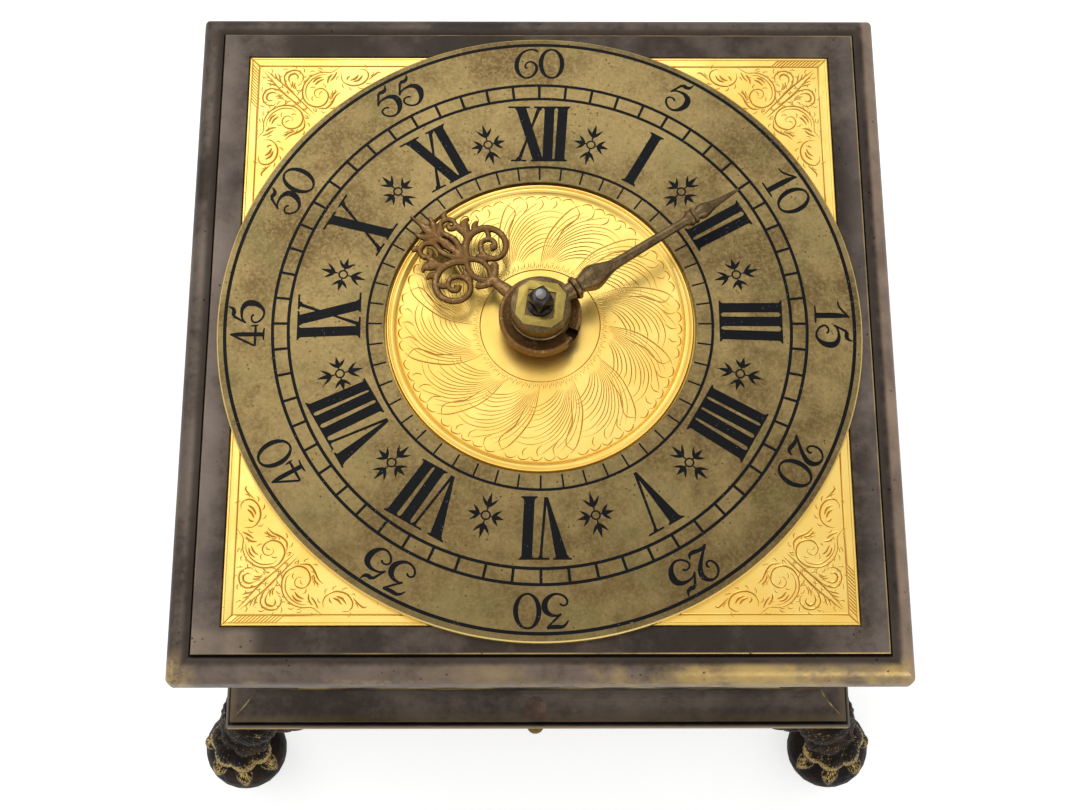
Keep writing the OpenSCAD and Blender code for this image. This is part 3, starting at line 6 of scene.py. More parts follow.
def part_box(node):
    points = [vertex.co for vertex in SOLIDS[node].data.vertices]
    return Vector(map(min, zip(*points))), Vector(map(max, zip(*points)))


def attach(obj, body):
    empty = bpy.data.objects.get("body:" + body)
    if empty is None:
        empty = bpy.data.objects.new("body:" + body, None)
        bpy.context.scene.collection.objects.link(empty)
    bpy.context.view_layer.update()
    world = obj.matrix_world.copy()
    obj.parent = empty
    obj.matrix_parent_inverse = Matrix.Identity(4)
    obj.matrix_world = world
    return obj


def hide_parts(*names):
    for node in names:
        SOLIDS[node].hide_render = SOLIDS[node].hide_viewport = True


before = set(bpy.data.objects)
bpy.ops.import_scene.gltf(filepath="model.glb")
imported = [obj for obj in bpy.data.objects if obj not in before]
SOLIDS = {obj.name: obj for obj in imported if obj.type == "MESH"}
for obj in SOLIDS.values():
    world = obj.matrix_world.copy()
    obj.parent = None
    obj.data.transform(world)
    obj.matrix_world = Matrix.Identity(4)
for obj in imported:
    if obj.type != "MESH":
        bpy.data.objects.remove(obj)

bl_info = {
    "name": "Horizontal table clock",
    "version": (1, 0, 0),
    "blender": (4, 5, 0),
    "location": "View3D > Sidebar > Table clock",
    "description": "Gives the solids of a square table clock their mouldings, engraving and finish",
    "category": "Add Mesh",
}

# Drawings are in millimetres, with X to the right and Y away from the front of the clock
MM = 0.001


def low(name):
    """Lowest corner of a solid, in mm."""
    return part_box(name)[0] / MM


def high(name):
    """Highest corner of a solid, in mm."""
    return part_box(name)[1] / MM


Z_DIAL = high("dial_plate").z
Z_RING = high("chapter_ring").z
Z_TOP = low("top_frame").z
Z_WALL = low("corner_posts").z
# Underside of the base, where the feet end
Z_BASE = 36.0
# Half widths of the top frame's border and of the base at its lower edge
BORDER_EDGE = 61.3
BASE_EDGE = 64.2
# Roll of the top frame: half width and height of its middle, radius, and the flank under it
ROLL = (62.8, 96.2, 3.2)
ROLL_FLANK = 2.4
# Each ball's distance from the middle along X and along Y, its height and its radius
FOOT_AT = 63.9
BALL_Z = 8.8
BALL_R = 8.85
# Points of a flat drawing that lie closer than this in mm are taken as one
CLOSE = 1e-4
ROOT_2 = math.sqrt(2)


# Working with meshes


def pick(*pieces):
    """Selects these pieces alone; the first one is active."""
    bpy.ops.object.select_all(action="DESELECT")
    for piece in pieces:
        piece.select_set(True)
    bpy.context.view_layer.objects.active = pieces[0]


def drawn(name, points, edges=(), faces=()):
    """A new mesh from points in mm."""
    mesh = bpy.data.meshes.new(name)
    mesh.from_pydata([Vector(p) * MM for p in points], edges, faces)
    piece = bpy.data.objects.new(name, mesh)
    bpy.context.scene.collection.objects.link(piece)
    pick(piece)
    return piece


def weld(piece, merge=0.002, outwards=False, drop_loose=False):
    """Merges points that lie within a distance in mm. It can also turn all faces outwards, and
    drop points that carry no face."""
    pick(piece)
    bpy.ops.object.mode_set(mode="EDIT")
    bpy.ops.mesh.select_all(action="SELECT")
    bpy.ops.mesh.remove_doubles(threshold=merge * MM)
    if outwards:
        bpy.ops.mesh.normals_make_consistent(inside=False)
    if drop_loose:
        bpy.ops.mesh.delete_loose()
    bpy.ops.object.mode_set(mode="OBJECT")


def mark(piece, name, values):
    """Stores a number for each point of a piece, which its finish reads."""
    attribute = piece.data.attributes.new(name, "FLOAT", "POINT")
    attribute.data.foreach_set("value", values)


def turned(name, outline, steps, closed=True, start=0.0):
    """Spins an outline of (radius, height) pairs round the clock's axis."""
    count = len(outline)
    edges = [(i, i + 1) for i in range(count - 1)]
    if closed:
        edges.append((count - 1, 0))
    along = (math.cos(start), math.sin(start))
    piece = drawn(name, [(r * along[0], r * along[1], z) for r, z in outline], edges)
    bpy.ops.object.mode_set(mode="EDIT")
    bpy.ops.mesh.select_all(action="SELECT")
    bpy.ops.mesh.spin(steps=steps, angle=math.tau, center=(0, 0, 0), axis=(0, 0, 1))
    bpy.ops.object.mode_set(mode="OBJECT")
    weld(piece, outwards=True)
    return piece


def mitred(name, outline, sharp_half, steps=8):
    """A square moulding from an outline of (half width, height) pairs. Its corners are sharp
    up to a half width and round off outside it."""
    points, faces = [], []
    ring = 4 * (steps + 1)
    for half, z in outline:
        radius = max(0.02, half - sharp_half)
        for quarter in range(4):
            for step in range(steps + 1):
                a = math.radians(90 * (quarter + step / steps))
                middle = math.radians(45 + 90 * quarter)
                centre = (half - radius) * ROOT_2
                points.append((centre * math.cos(middle) + radius * math.cos(a),
                               centre * math.sin(middle) + radius * math.sin(a), z))
    count = len(outline)
    for i in range(count):
        first, second = i * ring, (i + 1) % count * ring
        for k in range(ring):
            after = (k + 1) % ring
            faces.append((first + k, first + after, second + after, second + k))
    piece = drawn(name, points, faces=faces)
    weld(piece, 0.008, outwards=True)
    return piece


def arc(x, z, radius, start, end, steps):
    """Points of an arc in an outline, from one angle to the other in degrees."""
    angles = [math.radians(start + (end - start) * i / steps) for i in range(steps + 1)]
    return [(x + radius * math.cos(a), z + radius * math.sin(a)) for a in angles]


def smooth(path, steps):
    """A smooth path through points, which may carry a width as well."""
    path = [Vector(p) for p in path]
    ends = [2 * path[0] - path[1], *path, 2 * path[-1] - path[-2]]
    curve = []
    for a, b, c, d in zip(ends, ends[1:], ends[2:], ends[3:]):
        for k in range(steps):
            t = k / steps
            curve.append(0.5 * (2 * b + (c - a) * t + (2 * a - 5 * b + 4 * c - d) * t * t
                                + (3 * b - a - 3 * c + d) * t * t * t))
    return curve + [path[-1]]


def sides(path):
    """Left edge, middle and right edge of a path of (x, y, width)."""
    left, middle, right = [], [], []
    for i, point in enumerate(path):
        ahead = (path[min(i + 1, len(path) - 1)] - path[max(i - 1, 0)]).to_2d()
        across = Vector((-ahead.y, ahead.x)).normalized() * point.z / 2
        middle.append(point.to_2d())
        left.append(point.to_2d() + across)
        right.append(point.to_2d() - across)
    return left, middle, right


def quads(path):
    """The convex pieces of a path of (x, y, width), one for each step."""
    left, _, right = sides(path)
    return [[left[i], right[i], right[i + 1], left[i + 1]] for i in range(len(path) - 1)]


def placed(points, angle):
    """Points of a drawing, turned clockwise by an angle in degrees."""
    c, s = math.cos(math.radians(-angle)), math.sin(math.radians(-angle))
    return [Vector((p[0] * c - p[1] * s, p[0] * s + p[1] * c)) for p in points]


def circle_points(radius, count):
    """Points round the clock's axis."""
    return [(radius * math.cos(math.tau * i / count), radius * math.sin(math.tau * i / count))
            for i in range(count)]


def apply_modifier(piece, kind, **settings):
    """Adds a modifier to a piece and applies it."""
    pick(piece)
    modifier = piece.modifiers.new(kind.lower(), kind)
    for name, value in settings.items():
        setattr(modifier, name, value)
    bpy.ops.object.modifier_apply(modifier=modifier.name)


def join(name, pieces):
    """Joins pieces into the first one."""
    pick(*pieces)
    bpy.ops.object.join()
    pieces[0].name = name
    return pieces[0]


def fit(piece, finish, slot, body, *replaced, crease=32):
    """Gives a piece its finish and lets it ride on a body, in place of the solids named."""
    piece.data.materials.clear()
    piece.data.materials.append(finish)
    pick(piece)
    bpy.ops.object.shade_smooth_by_angle(angle=math.radians(crease))
    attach(piece, body)
    if replaced:
        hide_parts(*replaced)


def dressed(node, bevel, finish, slot, body):
    """A copy of a solid with its sharp edges broken."""
    solid = SOLIDS[node]
    piece = bpy.data.objects.new(node + "_finished", solid.data.copy())
    bpy.context.scene.collection.objects.link(piece)
    pick(piece)
    bpy.ops.object.mode_set(mode="EDIT")
    bpy.ops.mesh.select_all(action="SELECT")
    bpy.ops.mesh.remove_doubles(threshold=0.001 * MM)
    bpy.ops.mesh.dissolve_limited(angle_limit=math.radians(0.5))
    bpy.ops.object.mode_set(mode="OBJECT")
    apply_modifier(piece, "BEVEL", width=bevel * MM, segments=2, limit_method="ANGLE",
                   angle_limit=math.radians(35), use_clamp_overlap=True)
    fit(piece, finish, slot, body, node)
    return piece


# Finishes


def paint(colour):
    """A colour as it is seen, from 0 to 1, turned into what a shader wants. The output of a
    node stays as it is."""
    if isinstance(colour, bpy.types.NodeSocket):
        return colour
    return (*[((c + 0.055) / 1.055) ** 2.4 if c > 0.04045 else c / 12.92 for c in colour], 1)


class Nodes:
    """A tree whose nodes are added one by one."""

    def __init__(self, owner):
        owner.use_nodes = True
        self.tree = owner.node_tree

    def add(self, kind, values, **settings):
        """Adds a node with its settings and the values of its sockets."""
        node = self.tree.nodes.new("ShaderNode" + kind)
        for name, value in settings.items():
            setattr(node, name, value)
        for socket, value in values.items():
            self.put(value, node.inputs[socket])
        return node

    def put(self, value, socket):
        """Links a socket to a value, or sets it."""
        if isinstance(value, bpy.types.NodeSocket):
            self.tree.links.new(value, socket)
        else:
            socket.default_value = value

    def fade(self, value, start, end, low=0.0, high=1.0, kind="SMOOTHSTEP"):
        """Goes from low to high while the value goes from start to end."""
        values = {"Value": value, "From Min": start, "From Max": end, "To Min": low,
                  "To Max": high}
        return self.add("MapRange", values, interpolation_type=kind).outputs[0]

    def sum(self, operation, first, second=0.0):
        """The result of an operation on two numbers."""
        return self.add("Math", {0: first, 1: second}, operation=operation).outputs[0]


class Finish(Nodes):
    """A material. Where a share is asked for, a tuple gives the values of a fade."""

    def __init__(self, name, metallic=1.0, roughness=0.4):
        self.material = bpy.data.materials.new(name)
        super().__init__(self.material)
        self.shader = self.tree.nodes["Principled BSDF"]
        self.paint_with("Metallic", metallic)
        self.paint_with("Roughness", roughness)
        self.place = self.add("TexCoord", {}).outputs["Object"]

    def paint_with(self, socket, value):
        """Links or sets a socket of the shader."""
        self.put(value, self.shader.inputs[socket])

    def rough(self, value, low, high):
        """Roughness that follows a noise, from low to high."""
        self.paint_with("Roughness", self.fade(value, 0.3, 0.7, low, high))

    def noise(self, size, detail=3, rough=0.55, place=None):
        """Cloudy pattern with spots of about this size in mm."""
        values = {"Vector": place or self.place, "Scale": 1 / (size * MM), "Detail": detail,
                  "Roughness": rough}
        return self.add("TexNoise", values).outputs[0]

    def specks(self, size):
        """Distance to the nearest of many scattered points, in parts of their spacing in mm."""
        values = {"Vector": self.place, "Scale": 1 / (size * MM)}
        return self.add("TexVoronoi", values).outputs["Distance"]

    def stretched(self, x, y, z):
        """The place, scaled along each axis."""
        return self.add("Mapping", {"Vector": self.place, "Scale": (x, y, z)}).outputs[0]

    def blend(self, first, second, share):
        """Mean of two numbers, in which the second has this share."""
        return self.sum("ADD", self.sum("MULTIPLY", first, 1 - share),
                        self.sum("MULTIPLY", second, share))

    def ready(self, share):
        """A share as it is, or the fade that a tuple stands for."""
        return self.fade(*share) if isinstance(share, tuple) else share

    def all_of(self, *shares):
        """Product of several shares."""
        total, *others = map(self.ready, shares)
        for share in others:
            total = self.sum("MULTIPLY", total, share)
        return total

    def any_of(self, *shares):
        """Greatest of several shares."""
        total, *others = map(self.ready, shares)
        for share in others:
            total = self.sum("MAXIMUM", total, share)
        return total

    def mix(self, share, first, second):
        """Goes from the first colour to the second."""
        values = {0: self.ready(share), 6: first, 7: second}
        return self.add("Mix", values, data_type="RGBA").outputs[2]

    def layers(self, tone, *coats):
        """Lays colours over a first one, from pairs of share and colour."""
        tone = paint(tone)
        for share, over in coats:
            tone = self.mix(share, tone, paint(over))
        return tone

    def relief(self, *layers):
        """Bumps from pairs of height and depth in mm."""
        normal = None
        for height, depth in layers:
            values = {"Height": height, "Distance": depth * MM, "Strength": 1.0}
            if normal:
                values["Normal"] = normal
            normal = self.add("Bump", values).outputs[0]
        self.paint_with("Normal", normal)

    def attribute(self, name):
        """A number that each point of the mesh carries."""
        return self.add("Attribute", {}, attribute_name=name).outputs["Fac"]

    def square_place(self):
        """Half width of the square through a point, its smaller coordinate, and x, y, z in mm."""
        parts = self.add("SeparateXYZ", {"Vector": self.place}).outputs
        x, y, z = (self.sum("DIVIDE", parts[i], MM) for i in range(3))
        wide, deep = self.sum("ABSOLUTE", x), self.sum("ABSOLUTE", y)
        return self.sum("MAXIMUM", wide, deep), self.sum("MINIMUM", wide, deep), x, y, z


# Settings


def length(name, description, mm):
    """A setting for a length, from its default in mm."""
    return bpy.props.FloatProperty(name=name, description=description, default=mm * MM,
                                   unit="LENGTH", precision=5)


def colour(name, description, red, green, blue):
    """A setting for a colour, from its default in parts of 255."""
    return bpy.props.FloatVectorProperty(name=name, description=description, size=3,
                                         subtype="COLOR_GAMMA", min=0, max=1,
                                         default=(red / 255, green / 255, blue / 255))


def share(name, description, value):
    """A setting that goes from 0 to 1."""
    return bpy.props.FloatProperty(name=name, description=description, default=value,
                                   min=0, max=1, subtype="FACTOR")


class DialSettings(bpy.types.PropertyGroup):
    """Drawing of the dial."""

    ring_radius: length("Ring radius", "Outer radius of the hour ring",
                        high("chapter_ring").x)
    ring_hole: length("Ring hole", "Radius of the hole in the hour ring", 28.9)
    bevel: length("Ring bevel", "Width of the sloping edge of the hour ring", 1.2)
    outer_line: length("Outer line", "Radius of the line round the minute numbers", 58.08)
    minute_out: length("Minute track outside", "Outer radius of the minute track", 49.3)
    minute_in: length("Minute track inside", "Inner radius of the minute track", 46.4)
    hour_top: length("Hours outside", "Radius at the tops of the hour numbers", 44.8)
    hour_foot: length("Hours inside", "Radius at the feet of the hour numbers", 33.1)
    half_at: length("Half hours", "Radius of the half hour marks", 37.9)
    quarter_out: length("Quarter line", "Radius of the line round the quarters", 31.9)
    quarter_in: length("Quarter marks", "Inner radius of the quarter marks", 29.2)
    number_foot: length("Minute numbers", "Radius at the feet of the minute numbers", 50.85)
    line: length("Line", "Width of the wax lines", 0.66)
    bar: length("Bar", "Width of the bars of the hour numbers", 1.9)
    hair: length("Hair", "Width of the thin strokes of the hour numbers", 0.5)
    ink: length("Number weight", "How much wider the minute numbers are than drawn", 0.16)
    serif: length("Serif", "Thickness of the serifs of the hour numbers", 0.38)
    sunk: length("Wax depth", "How far the wax lies under the brass", 0.05)
    graver: length("Graver", "Width of the engraved strokes on the gilding", 0.6)
    graving: share("Slope of the strokes", "Depth of a stroke for each mm of its half width", 0.75)


class CaseSettings(bpy.types.PropertyGroup):
    """Mouldings of the case."""

    corner: length("Corner", "Radius of the corners of the top frame's roll", 1.1)
    edge: length("Edge", "Size of the broken edges on plates and posts", 0.18)
    voxel: length("Casting grain", "Size of the grain that the cast feet are modelled in", 0.27)
    hair: length("Hair relief", "Depth of the chased hair on the feet", 0.28)


class FinishSettings(bpy.types.PropertyGroup):
    """Colours of the clock."""

    patina: colour("Patina", "Dark brown skin of the frame", 106, 94, 84)
    patina_deep: colour("Deep patina", "Darkest patina in the corners", 56, 48, 42)
    worn: colour("Worn brass", "Brass where the patina is rubbed off", 196, 166, 104)
    aged: colour("Aged brass", "Olive brass of the hour ring", 152, 131, 86)
    aged_dark: colour("Aged brass, dark", "Stains on the hour ring", 104, 85, 53)
    gilt: colour("Gilding", "Gold of the dial plate and the centre", 255, 220, 124)
    gilt_line: colour("Engraved line", "Colour in the strokes of the engraving", 168, 116, 48)
    wax: colour("Wax", "Filling of the numbers", 9, 10, 13)
    copper: colour("Hour hand", "Brown metal of the hour hand", 120, 88, 50)
    copper_dark: colour("Hour hand, dark", "Hollows of the hour hand", 44, 28, 16)
    bronze: colour("Minute hand", "Brown metal of the minute hand", 128, 105, 74)
    steel: colour("Steel", "Arbors, screws and rods", 92, 92, 98)
    movement: colour("Movement brass", "Plates and wheels of the movement", 206, 172, 98)
    bell: colour("Bell metal", "Pale bronze of the bell", 198, 180, 132)
    foot: colour("Foot", "Nearly black patina of the feet", 18, 13, 11)
    gut: colour("Gut", "Line between the barrel and the fusee", 196, 158, 92)


class StageSettings(bpy.types.PropertyGroup):
    """Camera, lamps and floor."""

    lens: bpy.props.FloatProperty(name="Lens", description="Focal length in mm on a 36 mm frame",
                                  default=62.53)
    distance: length("Distance", "From the camera to the point that it looks at", 342.8)
    target: bpy.props.FloatVectorProperty(name="Target", description="Point that it looks at",
                                          subtype="TRANSLATION", unit="LENGTH", precision=5,
                                          default=(-0.00006, -0.01532, 0.1))
    rise: bpy.props.FloatProperty(name="Elevation", description="Angle above the horizon",
                                  subtype="ANGLE", default=math.radians(71.14))
    swing: bpy.props.FloatProperty(name="Swing", description="Angle round the clock from its front",
                                   subtype="ANGLE", default=-0.02909)
    roll: bpy.props.FloatProperty(name="Roll", description="Turn of the picture",
                                  subtype="ANGLE", default=0.02748)
    lamp_power: bpy.props.FloatProperty(name="Lamps", description="Power of the main lamp",
                                        default=2.7, unit="POWER")


# Finishes of this clock

# Tones that belong to one finish alone, as red, green and blue from 0 to 1
# Painted sheen on the border: on its left and right, and on its front at the left
BORDER_SHEEN, BORDER_FRONT_SHEEN = (0.53, 0.48, 0.45), (0.60, 0.53, 0.46)
# Painted sheen on the roll: on its right side and along its front
ROLL_RIGHT_SHEEN, ROLL_FRONT_SHEEN = (0.66, 0.57, 0.49), (0.56, 0.49, 0.44)
# Dark pits of the frame; the same colour is painted shade in the groove between border and roll
FRAME_PITS_AND_GROOVE_SHADE = (0.07, 0.055, 0.05)
# The second colour is painted shade in the groove above the base's lower edge
BASE_MEMBER, BASE_GROOVE_SHADE = (0.62, 0.58, 0.53), (0.14, 0.11, 0.09)
WALL_DARK, WALL_LIGHT = (0.32, 0.27, 0.22), (0.47, 0.40, 0.32)
# The first colour is painted glints in the grain of the hour ring
RING_GRAIN_GLINT, RING_GREEN = (0.72, 0.63, 0.42), (0.50, 0.47, 0.30)
# The second colour is a painted highlight on the hour ring's outer edge
RING_PITS, RING_RIM_HIGHLIGHT = (0.17, 0.13, 0.09), (0.93, 0.82, 0.52)
GILT_SPECKS = (0.55, 0.38, 0.16)
WAX_SPARKLE = (0.55, 0.56, 0.58)
# The third colour is a painted highlight on the arbor's pip
ARBOR_DARK, ARBOR_LIGHT, ARBOR_PIP_HIGHLIGHT = (0.15, 0.13, 0.12), (0.24, 0.22, 0.21), (0.50, 0.49, 0.48)
# Rubbed brass on the hour hand's high places, which is also a painted highlight
COPPER_WEAR_AND_HIGHLIGHT = (0.80, 0.66, 0.46)
FOOT_BROWN, FOOT_GOLD = (0.17, 0.115, 0.08), (0.76, 0.65, 0.40)
GUT_SHADE = (0.5, 0.36, 0.18)
BRONZE_DARK = (0.30, 0.25, 0.17)
COLLET_LIGHT, COLLET_DARK = (0.72, 0.64, 0.34), (0.60, 0.51, 0.27)
STUD_LIGHT, STUD_DARK = (0.36, 0.29, 0.25), (0.26, 0.21, 0.18)
DOOR_LIGHT, DOOR_DARK = (0.62, 0.52, 0.34), (0.34, 0.27, 0.18)
BELL_DARK = (0.55, 0.47, 0.32)
MOVEMENT_DARK = (0.55, 0.43, 0.24)
POLISHED_DARK, STEEL_DARK = (0.22, 0.21, 0.22), (0.25, 0.24, 0.25)
FLOOR_LIT, FLOOR_SEEN = (0.8, 0.8, 0.79, 1), (0.7, 0.7, 0.7, 1)


def patinated(name, colours):
    """Brown brass, cloudy, with fine pits; the rubbed places are added by each moulding."""
    finish = Finish(name, 0.9, 0.42)
    clouds, fine = finish.noise(22, 4), finish.noise(2.2, 4, 0.65)
    mottle = finish.blend(clouds, fine, 0.35)
    skin = finish.layers(colours.patina_deep, ((mottle, 0.36, 0.62), colours.patina))
    return finish, skin, fine


def frame_finish(colours):
    """Top frame: rubbed along the front of the roll, at the corners and at the edge of the border,
    with painted sheen, painted shade in its groove and cove, and a painted highlight along the
    roll.
    """
    finish, skin, fine = patinated("Frame patina", colours)
    half, other, x, y, z = finish.square_place()
    big, small = finish.noise(9, 4, 0.6), finish.noise(0.9, 3, 0.7)
    wide, border = finish.sum("ABSOLUTE", x), finish.fade(z, 99.5, 99.9)
    roll = finish.all_of((half, 62.6, 63.8), (z, 90.5, 92))
    sheen = finish.all_of(border, (wide, 56.5, 61), (big, 0.3, 0.7, 0.2, 0.45))
    # Painted sheen on the front of the border at the left
    front_left = finish.all_of(border, (x, -40, -52), (y, -56, -58), (big, 0.3, 0.7, 0.3, 0.7))
    # Painted sheen on the right side of the roll
    right_roll_sheen = finish.all_of((x, 63, 64), (z, 90.5, 92), (big, 0.3, 0.7, 0.4, 0.8))
    # Darker along the middle of the front and back border
    border_middle_darker = finish.all_of(border, (wide, 54, 48), (big, 0.35, 0.6, 0.3, 0.9))
    # Painted sheen along the front of the roll
    front_roll_sheen = finish.all_of(roll, (y, -61, -63), (big, 0.3, 0.7, 0.1, 0.6))
    # Painted shade on the roll's inner side next to the border
    shade = finish.all_of((half, BORDER_EDGE, BORDER_EDGE + 0.2), (half, 63.5, 62.3), 0.8)
    broken = finish.fade(finish.sum("ADD", big, finish.sum("MULTIPLY", small, 0.5)), 0.62, 0.86)
    line = finish.all_of((half, BORDER_EDGE - 0.3, BORDER_EDGE - 0.05), (z, 99.6, 99.9),
                         (big, 0.35, 0.6, 0.35, 1.0), (x, -60, 0, 0.3, 1))
    corner = finish.all_of((other, 59.5, 64.5), (half, 62.5, 64.5), (y, -50, -58), broken, 0.8)
    front_right = finish.all_of(roll, (y, -61.5, -62.5), (x, -34, 40),
                                (finish.noise(14, 5, 0.7), 0.3, 0.62))
    # Painted highlight along the outer face of the roll, laid in worn brass
    crest_highlight = finish.all_of((half, 65.2, 65.8), (z, 94, 95.5), (big, 0.46, 0.7),
                          (small, 0.35, 0.65), 0.35)
    # Rubbed places, and the painted highlight along the roll
    rubbed = finish.any_of(line, corner, front_right, crest_highlight)
    # Painted shade in the groove between the border and the roll
    groove = finish.all_of((half, BORDER_EDGE - 0.1, BORDER_EDGE),
                           (half, BORDER_EDGE + 0.5, BORDER_EDGE + 0.3), (z, 99.7, 99.3))
    pits = finish.all_of((finish.specks(1.5), 0.2, 0.1), (finish.noise(5, 2), 0.52, 0.66), 0.75)
    tone = finish.layers(skin, (sheen, BORDER_SHEEN), (front_left, BORDER_FRONT_SHEEN),
                         (right_roll_sheen, ROLL_RIGHT_SHEEN), (border_middle_darker, colours.patina_deep),
                         (front_roll_sheen, ROLL_FRONT_SHEEN), (shade, colours.patina_deep),
                         (finish.all_of(rubbed, 0.9), colours.worn),
                         (finish.any_of(pits, groove), FRAME_PITS_AND_GROOVE_SHADE))
    finish.paint_with("Base Color", tone)
    finish.paint_with("Roughness", finish.sum("SUBTRACT", finish.fade(fine, 0.3, 0.7, 0.34, 0.52),
                                              finish.all_of(rubbed, 0.1)))
    finish.relief((fine, 0.05), (finish.noise(0.5, 2), 0.012), (pits, -0.03))
    return finish.material


def base_finish(colours):
    """Base: darker, with a worn mitre line, a golden lower edge and painted shade in the groove
    above that edge.
    """
    finish, skin, fine = patinated("Base patina", colours)
    half, other, _, _, z = finish.square_place()
    streaks = finish.noise(1, 4, 0.6, finish.stretched(0.1, 0.1, 1.0))
    mitre = finish.all_of((finish.sum("SUBTRACT", half, other), 0.3, 0.05), (z, 39.4, 40.4),
                          (finish.noise(3.5, 4, 0.7), 0.42, 0.6), 0.5)
    edge = finish.all_of((half, 63.9, 64.1), (z, 37.8, 37.4))
    member = finish.all_of((half, 63.3, 63.7), (z, 38.7, 38.3), 0.4)
    fillet = finish.all_of((z, 38.9, 39.3), (z, 40.2, 39.7), 0.12)
    cap = finish.all_of((z, 44.8, 45.3), (streaks, 0.45, 0.6), 0.5)
    scuffs = finish.all_of((streaks, 0.6, 0.72), (finish.noise(12), 0.55, 0.7), 0.6)
    rubbed = finish.any_of(mitre, edge, fillet, cap, scuffs)
    # Painted shade in the groove above the lower edge
    groove_shade = finish.all_of((z, 37.95, 38.2), (z, 38.8, 38.4), (half, 64.0, 63.5))
    tone = finish.layers(skin, (0.35, colours.patina_deep), (member, BASE_MEMBER),
                         (rubbed, colours.worn), (groove_shade, BASE_GROOVE_SHADE))
    finish.paint_with("Base Color", tone)
    finish.rough(fine, 0.36, 0.55)
    finish.relief((fine, 0.04), (streaks, 0.03))
    return finish.material


def ring_finish(colours):
    """Hour ring: olive brass with stains, small dark pits and fine scratches, with painted glints
    in its grain, painted shade towards the front and a painted highlight on its outer edge.
    """
    finish = Finish("Ring brass", 1.0, 0.4)
    clouds, mottle = finish.noise(26, 4, 0.6), finish.noise(5, 5, 0.65)
    grain = finish.noise(0.6, 4, 0.7)
    scratches = finish.noise(1, 3, 0.6, finish.stretched(1600, 60, 1))
    stain = (finish.blend(clouds, mottle, 0.45), 0.40, 0.60, 1, 0)
    # Painted glints in the grain
    grain_glints = finish.all_of((grain, 0.42, 0.66), 0.35)
    # Painted shade, darker towards the front
    front_shade = (finish.square_place()[3], 12, -56, 0, 0.4)
    greenish = finish.all_of((finish.noise(11, 3), 0.5, 0.68), 0.3)
    freckles = finish.all_of((finish.specks(1.1), 0.22, 0.1), (mottle, 0.48, 0.62))
    dots = finish.all_of((grain, 0.36, 0.28), (clouds, 0.45, 0.55))
    pits = finish.any_of(freckles, dots)
    tone = finish.layers(colours.aged, (stain, colours.aged_dark), (grain_glints, RING_GRAIN_GLINT),
                         (front_shade, colours.aged_dark), (greenish, RING_GREEN),
                         (finish.all_of(pits, 0.75), RING_PITS),
                         # Painted highlight on the outer edge, where the rim is marked
                         (finish.attribute("rim"), RING_RIM_HIGHLIGHT))
    finish.paint_with("Base Color", tone)
    finish.rough(mottle, 0.3, 0.46)
    finish.relief((mottle, 0.10), (grain, 0.012), (scratches, 0.010), (pits, -0.03))
    return finish.material


def gilt_finish(colours):
    """Gilding with a matt grain; strokes of the graver are brown in their depth."""
    finish = Finish("Gilding", 1.0, 0.3)
    clouds, grain = finish.noise(16, 3), finish.noise(0.35, 3, 0.7)
    duller = [c * f for c, f in zip(colours.gilt, (0.97, 0.93, 0.84))]
    specks = finish.all_of((finish.specks(1.6), 0.12, 0.05), (finish.noise(7), 0.5, 0.6), 0.6)
    groove = finish.all_of((finish.attribute("groove"), 0.15, 0.75), 0.85)
    tone = finish.layers(colours.gilt, ((clouds, 0.35, 0.65), duller), (specks, GILT_SPECKS),
                         (groove, colours.gilt_line))
    finish.paint_with("Base Color", tone)
    finish.rough(clouds, 0.26, 0.38)
    finish.relief((finish.noise(6, 2), 0.04), (grain, 0.006))
    return finish.material


def wax_finish(colours):
    """Black wax, shrunk and a little glossy, with painted glints."""
    finish = Finish("Black wax", 0.0, 0.34)
    grain, clouds = finish.noise(0.3, 3, 0.7), finish.noise(4, 3)
    # Painted glints on the wax
    sparkle = finish.all_of((finish.specks(0.55), 0.16, 0.06), (clouds, 0.5, 0.62))
    finish.paint_with("Base Color", finish.layers(colours.wax, (sparkle, WAX_SPARKLE)))
    finish.paint_with("Specular IOR Level", 0.12)
    finish.rough(clouds, 0.25, 0.45)
    finish.relief((grain, 0.03))
    return finish.material


def old_metal(name, light, dark, size, roughness, relief=1.0):
    """A turned or filed metal with darker clouds of a size in mm."""
    finish = Finish(name, 1.0, roughness)
    clouds, grain = finish.noise(size, 4, 0.65), finish.noise(size / 8, 3, 0.6)
    mottle = finish.blend(clouds, grain, 0.3)
    finish.paint_with("Base Color", finish.layers(dark, ((mottle, 0.3, 0.72), light)))
    finish.rough(grain, roughness - 0.07, roughness + 0.1)
    finish.relief((clouds, 0.03 * relief), (grain, 0.01 * relief))
    return finish.material


def arbor_finish():
    """Centre arbor: blackened steel, with a painted highlight on the top of its turned pip."""
    finish = Finish("Arbor steel", 1.0, 0.2)
    z, grain = finish.square_place()[4], finish.noise(0.8, 4, 0.6)
    # Painted highlight on the top of the pip
    tone = finish.layers(ARBOR_DARK, ((grain, 0.35, 0.65), ARBOR_LIGHT),
                         ((z, 115.2, 116.0), ARBOR_PIP_HIGHLIGHT))
    finish.paint_with("Base Color", tone)
    finish.rough(grain, 0.14, 0.28)
    finish.relief((grain, 0.01))
    return finish.material


